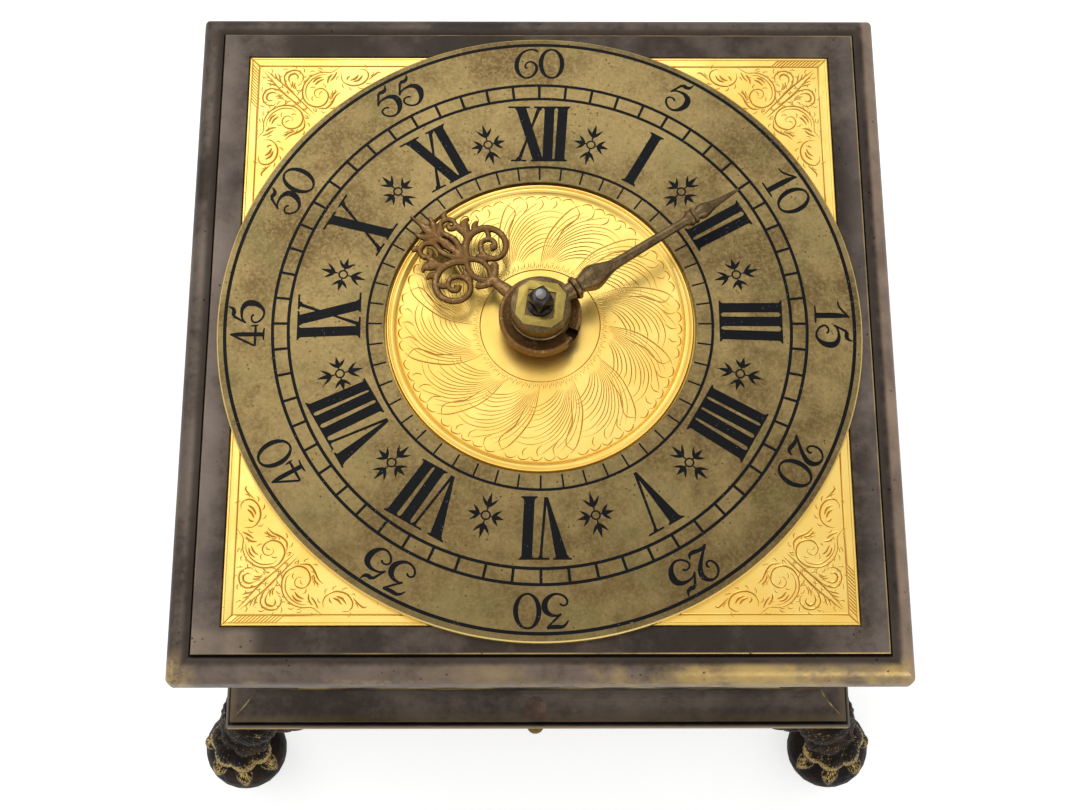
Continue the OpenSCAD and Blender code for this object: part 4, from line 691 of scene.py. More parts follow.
def copper_finish(colours):
    """Hour hand: brown, darker in its hollows, with rubbed high places that carry a painted
    highlight as well.
    """
    finish = Finish("Hour hand brown", 0.9, 0.42)
    grain, clouds = finish.noise(0.5, 4, 0.7), finish.noise(3, 3)
    level = finish.sum("ADD", finish.attribute("raised"),
                       finish.fade(grain, 0.3, 0.7, -0.25, 0.25))
    # Rubbed high places, also a painted highlight
    rubbed = finish.all_of((level, 0.85, 1.15), (clouds, 0.4, 0.6), 0.55)
    tone = finish.layers(colours.copper_dark, ((level, 0.1, 0.8), colours.copper),
                         (rubbed, COPPER_WEAR_AND_HIGHLIGHT))
    finish.paint_with("Base Color", tone)
    finish.rough(grain, 0.34, 0.55)
    finish.relief((grain, 0.05), (clouds, 0.04))
    return finish.material


def foot_finish(colours):
    """Feet: nearly black, with gold hairs on the parts that stand out."""
    finish = Finish("Foot patina", 0.35, 0.5)
    up = finish.square_place()[4]
    strands = finish.add("CombineXYZ", {0: finish.attribute("around"),
                                        1: finish.sum("MULTIPLY", up, 0.22)}).outputs[0]
    hairs = finish.add("TexNoise", {"Vector": strands, "Scale": 5, "Detail": 2}).outputs[0]
    stipple = finish.blend(hairs, finish.noise(1.6, 3), 0.35)
    rub = finish.sum("MULTIPLY", finish.attribute("rub"), 0.2)
    gold = finish.fade(finish.sum("ADD", stipple, rub), 0.665, 0.73)
    tone = finish.layers(colours.foot, ((finish.noise(5, 3), 0.4, 0.7), FOOT_BROWN),
                         (gold, FOOT_GOLD))
    finish.paint_with("Base Color", tone)
    finish.paint_with("Metallic", finish.fade(gold, 0, 1, 0.35, 0.95))
    finish.paint_with("Specular IOR Level", 0.1)
    finish.rough(stipple, 0.34, 0.56)
    finish.relief((stipple, 0.08))
    return finish.material


def glass_finish():
    """Old window glass."""
    finish = Finish("Window glass", 0.0, 0.03)
    finish.paint_with("Base Color", (0.96, 0.98, 0.97, 1))
    finish.paint_with("Transmission Weight", 1.0)
    finish.paint_with("IOR", 1.5)
    finish.relief((finish.noise(20, 1), 0.01))
    return finish.material


def gut_finish(colours):
    """Twisted gut line."""
    finish = Finish("Gut", 0.0, 0.5)
    twist = finish.noise(0.4, 2)
    finish.paint_with("Base Color", finish.layers(colours.gut, (twist, GUT_SHADE)))
    finish.relief((twist, 0.05))
    return finish.material


# Drawing of the dial

# Minute numbers: strokes of (x, y, width) in fortieths of a mm, from the foot of each digit
DIGITS = {
    "1": [[(0, 175, 4), (40, 181, 9), (80, 208, 11), (112, 238, 8), (130, 255, 2)],
          [(130, 255, 4), (120, 213, 22), (116, 153, 37), (115, 53, 37), (115, 4, 38)],
          [(37, 3, 4), (65, 4, 8), (115, 3, 9), (150, 4, 8), (175, 3, 4)]],
    "2": [[(60, 162, 5), (72, 148, 12), (66, 127, 10), (44, 118, 9), (22, 135, 10),
           (10, 170, 12), (18, 210, 12), (47, 240, 9), (84, 250, 12), (120, 232, 24),
           (139, 195, 34), (132, 152, 32), (104, 108, 24), (62, 62, 16), (17, 18, 12),
           (2, 0, 10)],
          [(2, 2, 8), (32, 18, 18), (72, 18, 24), (107, 10, 26), (137, 15, 18), (154, 45, 3)]],
    "3": [[(0, 192, 3), (20, 224, 12), (47, 240, 20), (87, 240, 25), (127, 244, 20),
           (152, 252, 8)],
          [(150, 248, 10), (102, 197, 10), (52, 147, 11)],
          [(50, 146, 4), (82, 160, 10), (127, 154, 22), (162, 122, 36), (167, 72, 36),
           (142, 32, 24), (102, 7, 14), (62, 7, 10), (27, 24, 10), (8, 52, 10), (12, 77, 9),
           (34, 88, 8), (54, 79, 10), (57, 70, 6)]],
    "4": [[(92, 248, 2), (92, 219, 16), (92, 174, 28), (92, 64, 27), (92, 4, 28)],
          [(90, 242, 8), (47, 154, 11), (2, 64, 10)],
          [(0, 61, 6), (32, 62, 12), (92, 62, 14), (142, 62, 12), (162, 62, 8)],
          [(158, 99, 3), (160, 79, 8), (162, 62, 10), (166, 42, 4)],
          [(45, -2, 3), (72, 2, 9), (112, 2, 9), (144, -2, 3)]],
    "5": [[(56, 220, 12), (72, 230, 24), (92, 226, 25), (115, 234, 20), (128, 254, 8),
           (132, 270, 2)],
          [(56, 228, 16), (31, 184, 11), (4, 135, 8)],
          [(4, 135, 4), (31, 160, 9), (72, 170, 13), (117, 166, 24), (153, 140, 38),
           (162, 97, 42), (148, 52, 32), (117, 17, 18), (81, 4, 11), (45, 14, 10),
           (18, 38, 10), (7, 66, 10), (16, 87, 9), (39, 96, 8), (61, 91, 10), (68, 78, 8)]],
    "6": [[(178, 228, 6), (172, 240, 14), (145, 250, 10), (105, 248, 10), (60, 223, 14),
           (28, 175, 24), (14, 120, 30), (22, 65, 26), (50, 22, 16), (92, 4, 10),
           (135, 20, 12), (165, 62, 16), (168, 105, 16), (148, 135, 12), (118, 145, 9),
           (92, 132, 8), (80, 108, 9), (90, 90, 10), (100, 94, 5)]],
    "0": [[(95 + 82 * math.sin(a), 128 + 124 * math.cos(a), 10 + 20 * math.sin(a) ** 2)
           for a in (math.tau * i / 14 for i in range(15))]],
}
DIGIT_WIDTH = {"0": 190, "1": 175, "2": 155, "3": 182, "4": 167, "5": 176, "6": 178}
DIGIT_UNIT = 1 / 40
DIGIT_GAP = 12

# Hour numbers: (kind of stroke, x at its foot, x at its top) in mm from the middle
ROMANS = {
    1: [("bar", 0.2, 0.2)],
    2: [("bar", -1.57, -1.66), ("bar", 0.89, 1.16)],
    3: [("bar", -3.16, -3.2), ("bar", -0.47, -0.44), ("bar", 2.1, 2.48)],
    4: [("bar", -3.93, -4.08), ("bar", -1.59, -1.66), ("bar", 0.7, 1.0), ("bar", 3.0, 3.7)],
    5: [("vee", -0.35, -2.1), ("vee hair", -0.3, 1.98)],
    6: [("vee", -1.05, -3.77), ("vee hair", -0.9, 0.06), ("bar", 2.0, 2.54)],
    7: [("vee", -1.17, -4.08), ("vee hair", -1.0, 0.38), ("bar", 1.55, 2.3), ("bar", 3.9, 5.05)],
    8: [("vee", -2.46, -4.6), ("vee hair", -2.2, -0.88), ("bar", 0.7, 1.2), ("bar", 3.16, 3.9),
        ("bar", 5.4, 6.5)],
    9: [("bar", -1.36, -1.8), ("cross", 3.7, 0.7), ("cross hair", -0.12, 3.86)],
    10: [("cross", 1.66, -1.48), ("cross hair", -2.08, 2.45)],
    11: [("cross", 0.94, -2.67), ("cross hair", -2.8, 1.57), ("bar", 2.85, 3.23)],
    12: [("cross", -0.28, -3.58), ("cross hair", -3.98, 0), ("bar", 1.45, 1.98),
         ("bar", 3.74, 4.55)],
}

# How far the serifs reach to the left and right of a stroke's foot and top
SERIFS = {
    "bar": ((-1.45, 1.45), (-1.45, 1.45)),
    "vee": (None, (-1.7, 1.6)),
    "vee hair": (None, (-1.6, 1.6)),
    "cross": ((-1.4, 2.5), (-2.4, 1.8)),
    "cross hair": ((-1.5, 1.5), (-1.05, 2.0)),
}


def stroke_widths(kind, bar, hair):
    """Widths of a stroke of an hour number at its foot, middle and top."""
    if kind == "vee":
        return 0.5, bar * 0.7, bar * 1.16
    if kind == "vee hair":
        return hair * 1.1, hair * 0.95, hair
    if kind == "cross hair":
        return hair * 1.5, hair * 0.7, hair * 1.5
    return bar, bar, bar


def hour_number(strokes, dial):
    """Convex shapes of an hour number that stands at 12."""
    foot, top = dial.hour_foot / MM, dial.hour_top / MM
    bar, hair, serif = dial.bar / MM, dial.hair / MM, dial.serif / MM
    shapes = []
    for kind, x_foot, x_top in strokes:
        widths = stroke_widths(kind, bar, hair)
        ends = (foot + serif / 2, top - serif / 2)
        path = [Vector((x_foot + (x_top - x_foot) * t / 2, ends[0] + (ends[1] - ends[0]) * t / 2,
                        widths[t])) for t in range(3)]
        shapes += quads(path)
        for x, y, reach in ((x_foot, foot, SERIFS[kind][0]), (x_top, top, SERIFS[kind][1])):
            if reach:
                inward = 1 if y == foot else -1
                thin = y + inward * serif
                step = thin - inward * 0.12
                left, right = x + reach[0], x + reach[1]
                shapes.append([(left, y), (right, y), (right, step), (right - 0.2, thin),
                               (left + 0.2, thin), (left, step)])
                wide = widths[0 if y == foot else 2] / 2
                shapes.append([(x - wide - 0.22, thin), (x + wide + 0.22, thin),
                               (x + wide * 0.9, thin + inward * 0.5),
                               (x - wide * 0.9, thin + inward * 0.5)])
    return shapes


def minute_number(text, foot, ink):
    """Convex shapes of a number that stands at 12."""
    total = sum(DIGIT_WIDTH[d] for d in text) + DIGIT_GAP * (len(text) - 1)
    x, shapes = -total / 2, []
    for digit in text:
        for stroke in DIGITS[digit]:
            path = [Vector(((px + x) * DIGIT_UNIT, py * DIGIT_UNIT + foot, w * DIGIT_UNIT + ink))
                    for px, py, w in stroke]
            shapes += quads(smooth(path, 3))
        x += DIGIT_WIDTH[digit] + DIGIT_GAP
    return shapes


def band(radius, width, count):
    """Convex shapes of a line round the dial."""
    inner = circle_points(radius - width / 2, count)
    outer = circle_points(radius + width / 2, count)
    return [[inner[i - 1], outer[i - 1], outer[i], inner[i]] for i in range(count)]


def half_hour_mark(at):
    """A small ring with four barbed darts, at 12."""
    ring, ring_line, steps = 0.78, 0.32, 16
    inside, outside = ring - ring_line / 2, ring + ring_line / 2
    shapes = []
    for i in range(steps):
        a, b = math.tau * i / steps, math.tau * (i + 1) / steps
        shapes.append([(r * math.sin(t), at + r * math.cos(t))
                       for t, r in ((a, inside), (a, outside), (b, outside), (b, inside))])
    for k, reach in enumerate((4.4, 3.4, 4.4, 3.4)):
        dart = quads(smooth([(0, ring, 0.2), (0, reach * 0.34, 0.34), (0, reach * 0.52, 0.86),
                             (0, reach * 0.7, 0.66), (0, reach * 0.86, 0.34),
                             (0, reach, 0.03)], 3))
        for side in (-1, 1):
            dart += quads(smooth([(0, reach * 0.36, 0.3), (side * 0.42, reach * 0.47, 0.6),
                                  (side * 0.95, reach * 0.6, 0.46),
                                  (side * 1.5, reach * 0.78, 0.03)], 3))
        for shape in dart:
            shapes.append([(p.x, p.y + at) for p in placed(shape, 90 * k)])
    return shapes


def dial_shapes(dial):
    """All the wax on the hour ring, as convex shapes."""
    line = dial.line / MM
    out, inn = dial.minute_out / MM, dial.minute_in / MM
    quarter, tick = dial.quarter_out / MM, dial.quarter_in / MM
    shapes = band(dial.outer_line / MM, line, 180)
    shapes += band(out, line * 0.9, 180) + band(inn, line * 0.9, 180)
    shapes += band(quarter, line * 0.8, 120)
    for k in range(60):
        shapes.append(placed([(-line * 0.4, inn), (line * 0.4, inn), (line * 0.4, out),
                              (-line * 0.4, out)], 6 * k))
    for k in range(48):
        shapes.append(placed([(-line * 0.26, tick), (line * 0.26, tick), (line * 0.26, quarter),
                              (-line * 0.26, quarter)], 7.5 * k))
    for hour, strokes in ROMANS.items():
        shapes += [placed(s, 30 * hour) for s in hour_number(strokes, dial)]
        number = minute_number(str(5 * hour), dial.number_foot / MM, dial.ink / MM)
        shapes += [placed(s, 30 * hour) for s in number]
        shapes += [placed(s, 30 * hour + 15) for s in half_hour_mark(dial.half_at / MM)]
    return shapes


def area_of(shape):
    """Area of a shape; it is below zero where its points run clockwise."""
    return sum(a[0] * b[1] - a[1] * b[0] for a, b in zip(shape, [*shape[1:], shape[0]])) / 2


def inlay(shapes, outer, inner):
    """Cuts convex shapes out of a ring. Returns points, triangles of brass and triangles of wax."""
    points, faces = [], []
    for shape in [outer, inner] + shapes:
        flat = [Vector(p[:2]) for p in shape]
        if len(faces) > 1:
            flat = [flat[i] for i in geometry.convex_hull_2d(flat)]
        if area_of(flat) < 0:
            flat.reverse()
        faces.append(list(range(len(points), len(points) + len(flat))))
        points += flat
    where, _, triangles, _, _, owners = geometry.delaunay_2d_cdt(points, [], faces, 0, CLOSE)
    brass, wax = [], []
    for triangle, owner in zip(triangles, owners):
        if 0 in owner and 1 not in owner:
            (wax if max(owner) > 1 else brass).append(tuple(triangle))
    return where, brass, wax


def lines_of(triangles):
    """The directed edges of triangles."""
    return {(t[i], t[(i + 1) % 3]) for t in triangles for i in range(3)}


# Engraving


def strokes_depth(strokes, slope):
    """A function that gives the depth of the engraving, and how far into a stroke a point is."""
    samples, spacing = [], 0.09
    for path in strokes:
        for a, b in zip(path, path[1:]):
            steps = math.ceil((b - a).length / spacing)
            samples += [a.lerp(b, i / steps) for i in range(steps + 1)]
    tree = kdtree.KDTree(len(samples))
    for i, point in enumerate(samples):
        tree.insert((point.x, point.y, 0), i)
    tree.balance()
    widest = max(point.z for point in samples) / 2

    def depth(x, y):
        deepest, inside = 0.0, 0.0
        for _, i, away in tree.find_range((x, y, 0), widest):
            half = samples[i].z / 2
            if half > away:
                deepest = max(deepest, (half - away) * slope)
                inside = max(inside, 1 - away / half)
        return deepest, inside

    return depth


def engraved(name, border, strokes, z, slope):
    """A flat sheet with V-shaped strokes cut into it. Its border stays open."""
    coords, edges = [Vector(p) for p in border], []
    count = len(border)
    edges += [(i, (i + 1) % count) for i in range(count)]
    for path in strokes:
        for chain in sides(path):
            start = len(coords)
            coords += [p.to_2d() for p in chain]
            edges += [(i, i + 1) for i in range(start, len(coords) - 1)]
    where, _, triangles, _, _, _ = geometry.delaunay_2d_cdt(coords, edges, [list(range(count))],
                                                            1, CLOSE)
    depth = strokes_depth(strokes, slope)
    cuts = [depth(p.x, p.y) for p in where]
    points = [(p.x, p.y, z - cut) for p, (cut, _) in zip(where, cuts)]
    sheet = drawn(name, points, faces=triangles)
    mark(sheet, "groove", [inside for _, inside in cuts])
    return sheet


def cut_line(points, width, steps=4):
    """A stroke of the graver: it runs out to a point where it starts and ends."""
    path = smooth(points, steps)
    last = len(path) - 1
    return [Vector((p.x, p.y, width * math.sin(math.pi * i / last) ** 0.55 if 0 < i < last else 0))
            for i, p in enumerate(path)]


# One half of the scrollwork in a corner of the plate, in mm from the middle of the dial
SCROLLWORK = [
    (1.0, [(42.9, 43.5), (45.5, 46.2), (48.3, 49.2), (50.5, 51.2), (53.6, 53.8)]),
    (0.8, [(49.9, 50.4), (50.3, 51.6), (50.7, 53.0)]),
    (0.8, [(50.4, 50.9), (51.0, 51.9), (51.3, 52.9)]),
    (0.7, [(51.0, 51.4), (51.6, 52.1), (52.1, 53.0)]),
    (0.9, [(46.5, 50.6), (45.8, 51.4), (46.0, 52.6), (47.1, 53.4), (48.5, 53.2), (49.4, 52.2),
           (49.2, 50.7), (48.2, 49.3), (46.9, 48.3)]),
    (1.1, [(47.0, 51.3), (46.8, 52.1), (47.4, 52.7), (48.3, 52.4), (48.6, 51.5), (48.2, 50.4)]),
    (0.8, [(47.3, 50.9), (47.4, 50.0), (46.9, 49.1)]),
    (0.8, [(47.8, 51.2), (47.8, 50.2), (47.3, 49.2)]),
    (0.9, [(38.3, 54.3), (39.2, 53.8), (40.4, 53.0), (42.3, 53.0), (44.2, 52.2), (45.4, 50.7),
           (45.8, 49.2), (45.6, 47.4), (44.6, 46.1), (43.1, 45.5), (41.7, 45.9), (41.0, 46.8),
           (40.8, 48.0), (41.3, 49.0), (42.3, 49.5), (43.3, 49.1), (43.5, 48.2), (42.9, 47.5),
           (42.1, 47.8)]),
    (0.7, [(41.0, 52.5), (42.5, 52.4), (43.9, 51.6), (44.9, 50.3), (45.2, 49.1), (45.0, 47.6),
           (44.2, 46.7)]),
    (1.1, [(42.0, 52.0), (43.2, 51.6), (44.0, 50.6)]),
    (1.1, [(41.6, 51.6), (42.8, 51.0), (43.5, 50.1)]),
    (1.0, [(39.2, 53.3), (39.8, 52.0), (40.6, 51.0)]),
    (1.0, [(40.0, 52.7), (40.9, 51.6), (41.0, 50.4)]),
    (1.0, [(43.1, 45.2), (41.2, 45.2), (40.1, 46.3), (39.4, 47.8), (38.3, 48.9)]),
    (1.1, [(40.2, 47.0), (39.9, 48.2), (39.0, 49.0)]),
    (0.9, [(38.3, 53.2), (38.4, 51.8), (37.7, 50.7), (36.2, 50.1), (34.4, 50.5), (33.3, 51.7),
           (33.3, 53.0), (34.2, 53.7), (35.2, 53.6)]),
    (1.2, [(34.2, 52.5), (35.0, 51.4), (36.2, 50.9)]),
    (1.2, [(35.0, 52.6), (35.7, 51.7), (36.8, 51.2)]),
    (0.9, [(36.7, 52.3), (37.2, 51.8), (37.3, 51.2)]),
    (0.9, [(33.2, 51.2), (32.3, 52.2), (31.3, 53.0), (30.6, 52.8)]),
]


def lobes(path, every=1.35, reach=1.3):
    """Short bowed strokes on the outer side of a scroll, like the lobes of a leaf."""
    hooks, walked = [], 0.3
    points = smooth([(*p, 0.0) for p in path], 6)
    for a, b, c in zip(points, points[1:], points[2:]):
        walked += (b - a).length
        if walked > every:
            walked = 0.0
            ahead = (b - a).to_2d().normalized()
            out = Vector((ahead.y, -ahead.x))
            if out.dot((c - b).to_2d() - (b - a).to_2d()) > 0:
                out = -out
            start = a.to_2d() + out * 0.3
            hooks.append([start, start + ahead * 0.3 * reach + out * 0.4 * reach,
                          start + ahead * 0.8 * reach + out * 0.5 * reach])
    return hooks


def plate_strokes(graver):
    """Scrollwork, border lines and hatching of the gilt plate, in all four corners."""
    strokes = []
    quarter = list(SCROLLWORK)
    quarter += [(0.55, hook) for _, path in SCROLLWORK for hook in lobes(path) if len(path) > 4]
    quarter += [(weight, [(v, u) for u, v in path]) for weight, path in quarter]
    for x_side in (-1, 1):
        for y_side in (-1, 1):
            for weight, path in quarter:
                strokes.append(cut_line([(x_side * u, y_side * v) for u, v in path],
                                        graver * 0.82 * weight))
    pitch = 0.66
    lines = [([(-54.4, -54.3), (54.4, -54.3)], 0.34), ([(-55.8, -55.75), (55.8, -55.75)], 0.2),
             ([(-54.4, -54.35), (-56.0, -56.0)], 0.3)]
    lines += [([(-45.4 - pitch * i, -54.5), (-46.6 - pitch * i, -55.6)], 0.26) for i in range(13)]
    for k in range(4):
        turn = Matrix.Rotation(math.radians(90 * k), 2)
        for path, width in lines:
            strokes.append([Vector((*(turn @ Vector(p)), width * graver / 0.5)) for p in path])
    return strokes


# One leaf of the whorl in the centre: (degrees clockwise from its foot, radius in mm)
LEAF_EDGES = [
    [(0, 11.7), (3.7, 17.0), (8.3, 20.5), (13.8, 24.0), (18.3, 25.7)],
    [(45.0, 25.5), (48.6, 23.6), (45.9, 21.3), (43.0, 19.8), (40.4, 17.0), (38.5, 15.5)],
]
LEAF_VEINS = [
    [(1, 12.0), (6, 17.5), (14, 22.0), (22, 25.0)],
    [(3, 12.3), (9, 17.0), (18, 21.4), (27, 24.2), (31, 25.3)],
    [(5, 12.8), (13, 17.5), (24, 21.6), (34, 23.2), (43, 22.9)],
    [(7, 13.0), (15, 17.0), (25, 20.2), (35, 22.0), (44, 21.8)],
    [(9, 13.2), (17, 16.5), (27, 18.8), (36, 20.0), (43, 19.8)],
    [(11, 13.0), (20, 15.4), (30, 17.3), (39, 17.6)],
    [(14, 12.8), (23, 14.6), (33, 16.0), (38, 15.9)],
]
LEAF_HOOKS = [
    [(24, 25.6), (24.5, 24.0), (22, 22.9)],
    [(31, 25.6), (31.5, 24.3), (29, 23.0)],
    [(37, 25.6), (37.5, 24.6), (35.5, 23.6)],
]
LEAVES = 12
SCALLOPS = 5


def polar(path, turn):
    """Points at (degrees clockwise, radius)."""
    return [(r * math.sin(math.radians(a + turn)), r * math.cos(math.radians(a + turn)))
            for a, r in path]


def between(veins):
    """A shorter vein half way between each pair of veins."""
    extra = []
    for first, second in zip(veins, veins[1:]):
        middle = [((a[0] + b[0]) / 2, (a[1] + b[1]) / 2) for a, b in zip(first, second)]
        extra.append(middle[:-1] if len(middle) > 4 else middle)
    return extra


def whorl_strokes(graver):
    """Twelve leaves that turn round the centre, with a ring of short strokes."""
    strokes = []
    # Where the scallops of a leaf's round edge start and end, in degrees
    first, last = LEAF_EDGES[0][-1][0], LEAF_EDGES[1][0][0]
    step = (last - first) / SCALLOPS
    for k in range(LEAVES):
        turn = 360 / LEAVES * k
        for path in LEAF_EDGES:
            strokes.append(cut_line(polar(path, turn), graver * 0.6))
        for j in range(SCALLOPS):
            start = first + step * j
            bow = [(start, 25.4), (start + 0.25 * step, 26.0), (start + 0.7 * step, 26.15),
                   (start + step, 25.35)]
            strokes.append(cut_line(polar(bow, turn), graver * 0.5, 3))
        for path in LEAF_VEINS + between(LEAF_VEINS):
            strokes.append(cut_line(polar(path, turn), graver * 0.36))
        for path in LEAF_HOOKS:
            strokes.append(cut_line(polar(path, turn), graver * 0.45))
    for k in range(200):
        a = 1.8 * k
        end = 12.6 + 0.6 * math.sin(k * 2.4)
        strokes.append(cut_line(polar([(a, 11.25), (a + 1.2, end)], 0), graver * 0.3, 2))
    ring = [Vector((*p, graver * 0.4)) for p in circle_points(11.1, 120)]
    return strokes + [ring + ring[:1]]


# Pieces


class CLOCK_OT_hour_ring(bpy.types.Operator):
    """Cuts the numbers out of the hour ring and fills them with wax"""

    bl_idname = "clock.hour_ring"
    bl_label = "Hour ring"

    def execute(self, context):
        dial = context.scene.clock_dial
        colours = context.scene.clock_finish
        steps = 240
        edge = dial.ring_radius / MM
        flat, hole = edge - dial.bevel / MM, dial.ring_hole / MM
        where, brass, wax = inlay(dial_shapes(dial), circle_points(flat, steps),
                                  circle_points(hole, steps))
        sunk = dial.sunk / MM
        count = len(where)
        points = [(p.x, p.y, Z_RING) for p in where]
        points += [(p.x, p.y, Z_RING - 2 * sunk) for p in where]
        wax_lines = lines_of(wax)
        walls = [(a + count, b + count, b, a) for a, b in lines_of(brass) if (b, a) in wax_lines]
        sheet = drawn("ring_sheet", points, faces=brass + walls)
        outline = [(flat, Z_RING), (edge - 0.25, Z_RING - 0.3), (edge - 0.2, Z_RING - 0.32),
                   (edge, Z_RING - 0.55), (edge, Z_DIAL), (hole - 0.1, Z_DIAL),
                   (hole - 0.1, Z_RING - 0.1), (hole, Z_RING)]
        body = turned("ring_body", outline, steps, closed=False)
        ring = join("hour_ring", [body, sheet])
        weld(ring, drop_loose=True)
        # Points at the outer edge carry a painted highlight
        mark(ring, "rim", [1.0 if v.co.to_2d().length / MM > edge - 0.22 else 0.0
                           for v in ring.data.vertices])
        fit(ring, ring_finish(colours), "ring_brass", "case", "chapter_ring", crease=20)
        filling = drawn("wax_inlay", [(p.x, p.y, Z_RING - sunk) for p in where], faces=wax)
        bpy.ops.object.mode_set(mode="EDIT")
        bpy.ops.mesh.delete_loose()
        bpy.ops.object.mode_set(mode="OBJECT")
        fit(filling, wax_finish(colours), "wax", "case", "wax_filling")
        return {"FINISHED"}


class CLOCK_OT_gilt_plate(bpy.types.Operator):
    """Engraves the corners of the gilt plate"""

    bl_idname = "clock.gilt_plate"
    bl_label = "Gilt plate"

    def execute(self, context):
        dial = context.scene.clock_dial
        half, soft = high("dial_plate").x, 0.16
        flat, deep = half - soft, Z_DIAL - low("dial_plate").z
        corners = [(-1, -1), (1, -1), (1, 1), (-1, 1)]
        strokes = plate_strokes(dial.graver / MM)
        plate = engraved("gilt_plate_finished", [(flat * x, flat * y) for x, y in corners], strokes,
                         Z_DIAL, dial.graving)
        rim = turned("plate_rim", [(flat * ROOT_2, Z_DIAL), (half * ROOT_2, Z_DIAL - soft),
                                   (half * ROOT_2, Z_DIAL - deep), (8, Z_DIAL - deep)], 4,
                     closed=False, start=math.radians(45))
        plate = join("gilt_plate_finished", [plate, rim])
        weld(plate)
        fit(plate, gilt_finish(context.scene.clock_finish), "gilt", "case", "dial_plate", crease=12)
        return {"FINISHED"}


class CLOCK_OT_centre_disc(bpy.types.Operator):
    """Engraves the gilt disc in the centre and raises its rim"""

    bl_idname = "clock.centre_disc"
    bl_label = "Centre disc"

    def execute(self, context):
        dial = context.scene.clock_dial
        steps = 144
        bottom, top = low("centre_disc").z, high("centre_disc").z
        edge = high("centre_disc").x
        flat, z = 26.4, top - 0.45
        disc = engraved("centre_disc_finished", circle_points(flat, steps),
                        whorl_strokes(dial.graver / MM), z, dial.graving)
        rim = turned("disc_rim", [(flat, z), (26.55, z - 0.12), (26.7, z), (26.95, z + 0.28),
                                  (27.3, top), (27.6, top), (27.85, top - 0.16), (27.95, top - 0.2),
                                  (28.1, top - 0.05), (28.3, top - 0.05), (edge, top - 0.25),
                                  (edge, bottom), (6.0, bottom)], steps, closed=False)
        disc = join("centre_disc_finished", [disc, rim])
        weld(disc)
        fit(disc, gilt_finish(context.scene.clock_finish), "gilt", "case", "centre_disc", crease=12)
        return {"FINISHED"}


# One side of the pierced hour hand: strips of (x, y, width) in mm, with their thickness
HOUR_HAND_SIDE = [
    (1.2, [(0.2, 11.0, 1.5), (1.2, 11.5, 1.2), (2.0, 12.0, 1.1), (2.5, 12.7, 1.4),
           (2.7, 13.1, 0.7)]),
    (1.1, [(0.2, 11.4, 1.2), (1.2, 12.8, 1.0), (1.6, 14.4, 0.95), (1.2, 16.0, 0.95),
           (0.2, 17.5, 1.2)]),
    (1.25, [(0.3, 17.2, 1.1), (1.6, 18.9, 1.2), (3.5, 19.9, 1.25), (5.6, 19.8, 1.2),
            (7.4, 18.7, 1.15), (8.3, 16.7, 1.1), (7.9, 14.6, 1.05), (6.5, 13.2, 1.0),
            (4.7, 12.9, 0.95), (3.4, 13.7, 0.95), (2.9, 15.1, 0.95), (3.3, 16.5, 0.95),
            (4.5, 17.4, 0.9), (5.8, 17.0, 0.85), (6.2, 15.9, 0.9), (5.5, 15.1, 1.1),
            (4.8, 15.5, 1.4)]),
    (1.1, [(3.0, 13.9, 0.8), (2.6, 14.9, 1.2), (2.2, 15.8, 0.9), (1.9, 16.6, 0.4)]),
    (1.1, [(6.0, 16.8, 0.8), (6.7, 17.6, 0.9), (7.0, 18.4, 0.5)]),
    (1.2, [(3.2, 19.6, 0.9), (4.2, 21.0, 1.5), (5.3, 22.2, 1.7), (6.3, 22.5, 0.8),
           (6.8, 22.2, 0.4)]),
    (1.2, [(4.0, 20.2, 1.0), (4.2, 21.8, 1.5), (4.1, 23.0, 1.0), (4.4, 23.7, 0.4)]),
    (1.1, [(5.4, 19.9, 0.8), (6.4, 20.6, 1.1), (7.4, 20.8, 0.5)]),
    (1.2, [(0.1, 18.4, 1.1), (1.3, 20.3, 1.0), (1.7, 22.2, 1.0), (1.4, 24.2, 0.95),
           (2.5, 25.7, 0.95), (4.0, 25.4, 0.9), (4.5, 24.1, 0.85), (3.7, 23.2, 0.9),
           (2.9, 23.8, 1.0), (3.3, 24.4, 0.9)]),
    (1.1, [(3.4, 25.6, 0.8), (4.3, 26.3, 1.0), (5.0, 26.4, 0.4)]),
    (1.2, [(0.1, 25.0, 1.0), (1.3, 26.3, 1.2), (1.9, 27.4, 0.9), (2.1, 28.2, 0.4)]),
    (1.1, [(0.1, 23.8, 0.9), (1.0, 24.8, 1.1), (1.9, 25.4, 0.5)]),
]
HOUR_HAND_MIDDLE = [
    (1.4, [(0, 6.5, 2.7), (0, 8.3, 2.6), (0, 10.0, 2.1), (0, 11.6, 2.0)]),
    (1.35, [(0, 17.2, 1.2), (0, 19.6, 1.2), (0, 21.4, 1.7), (0, 22.8, 1.9), (0, 24.2, 1.1),
            (0, 25.8, 1.5), (0, 27.2, 1.9), (0, 28.6, 1.0), (0, 30.2, 0.6), (0, 31.2, 0.35)]),
]


def rounded_strip(name, path, thick, z):
    """A strip with a round back, along a path of (x, y, width)."""
    section = 10
    left, middle, _ = sides(path)
    points, faces = [], []
    for i, (edge, centre) in enumerate(zip(left, middle)):
        across = edge - centre
        taper = min(1.0, 0.45 + path[i].z)
        for k in range(section):
            a = math.tau * k / section
            lift = math.sin(a) * thick / 2 * (taper if a < math.pi else 1.0)
            points.append((*(centre + across * math.cos(a)), z + lift))
    rings = len(path)
    for i in range(rings - 1):
        for k in range(section):
            a, b = i * section + k, i * section + (k + 1) % section
            faces.append((a, b, b + section, a + section))
    faces.append(tuple(range(section - 1, -1, -1)))
    faces.append(tuple(range((rings - 1) * section, rings * section)))
    return drawn(name, points, faces=faces)


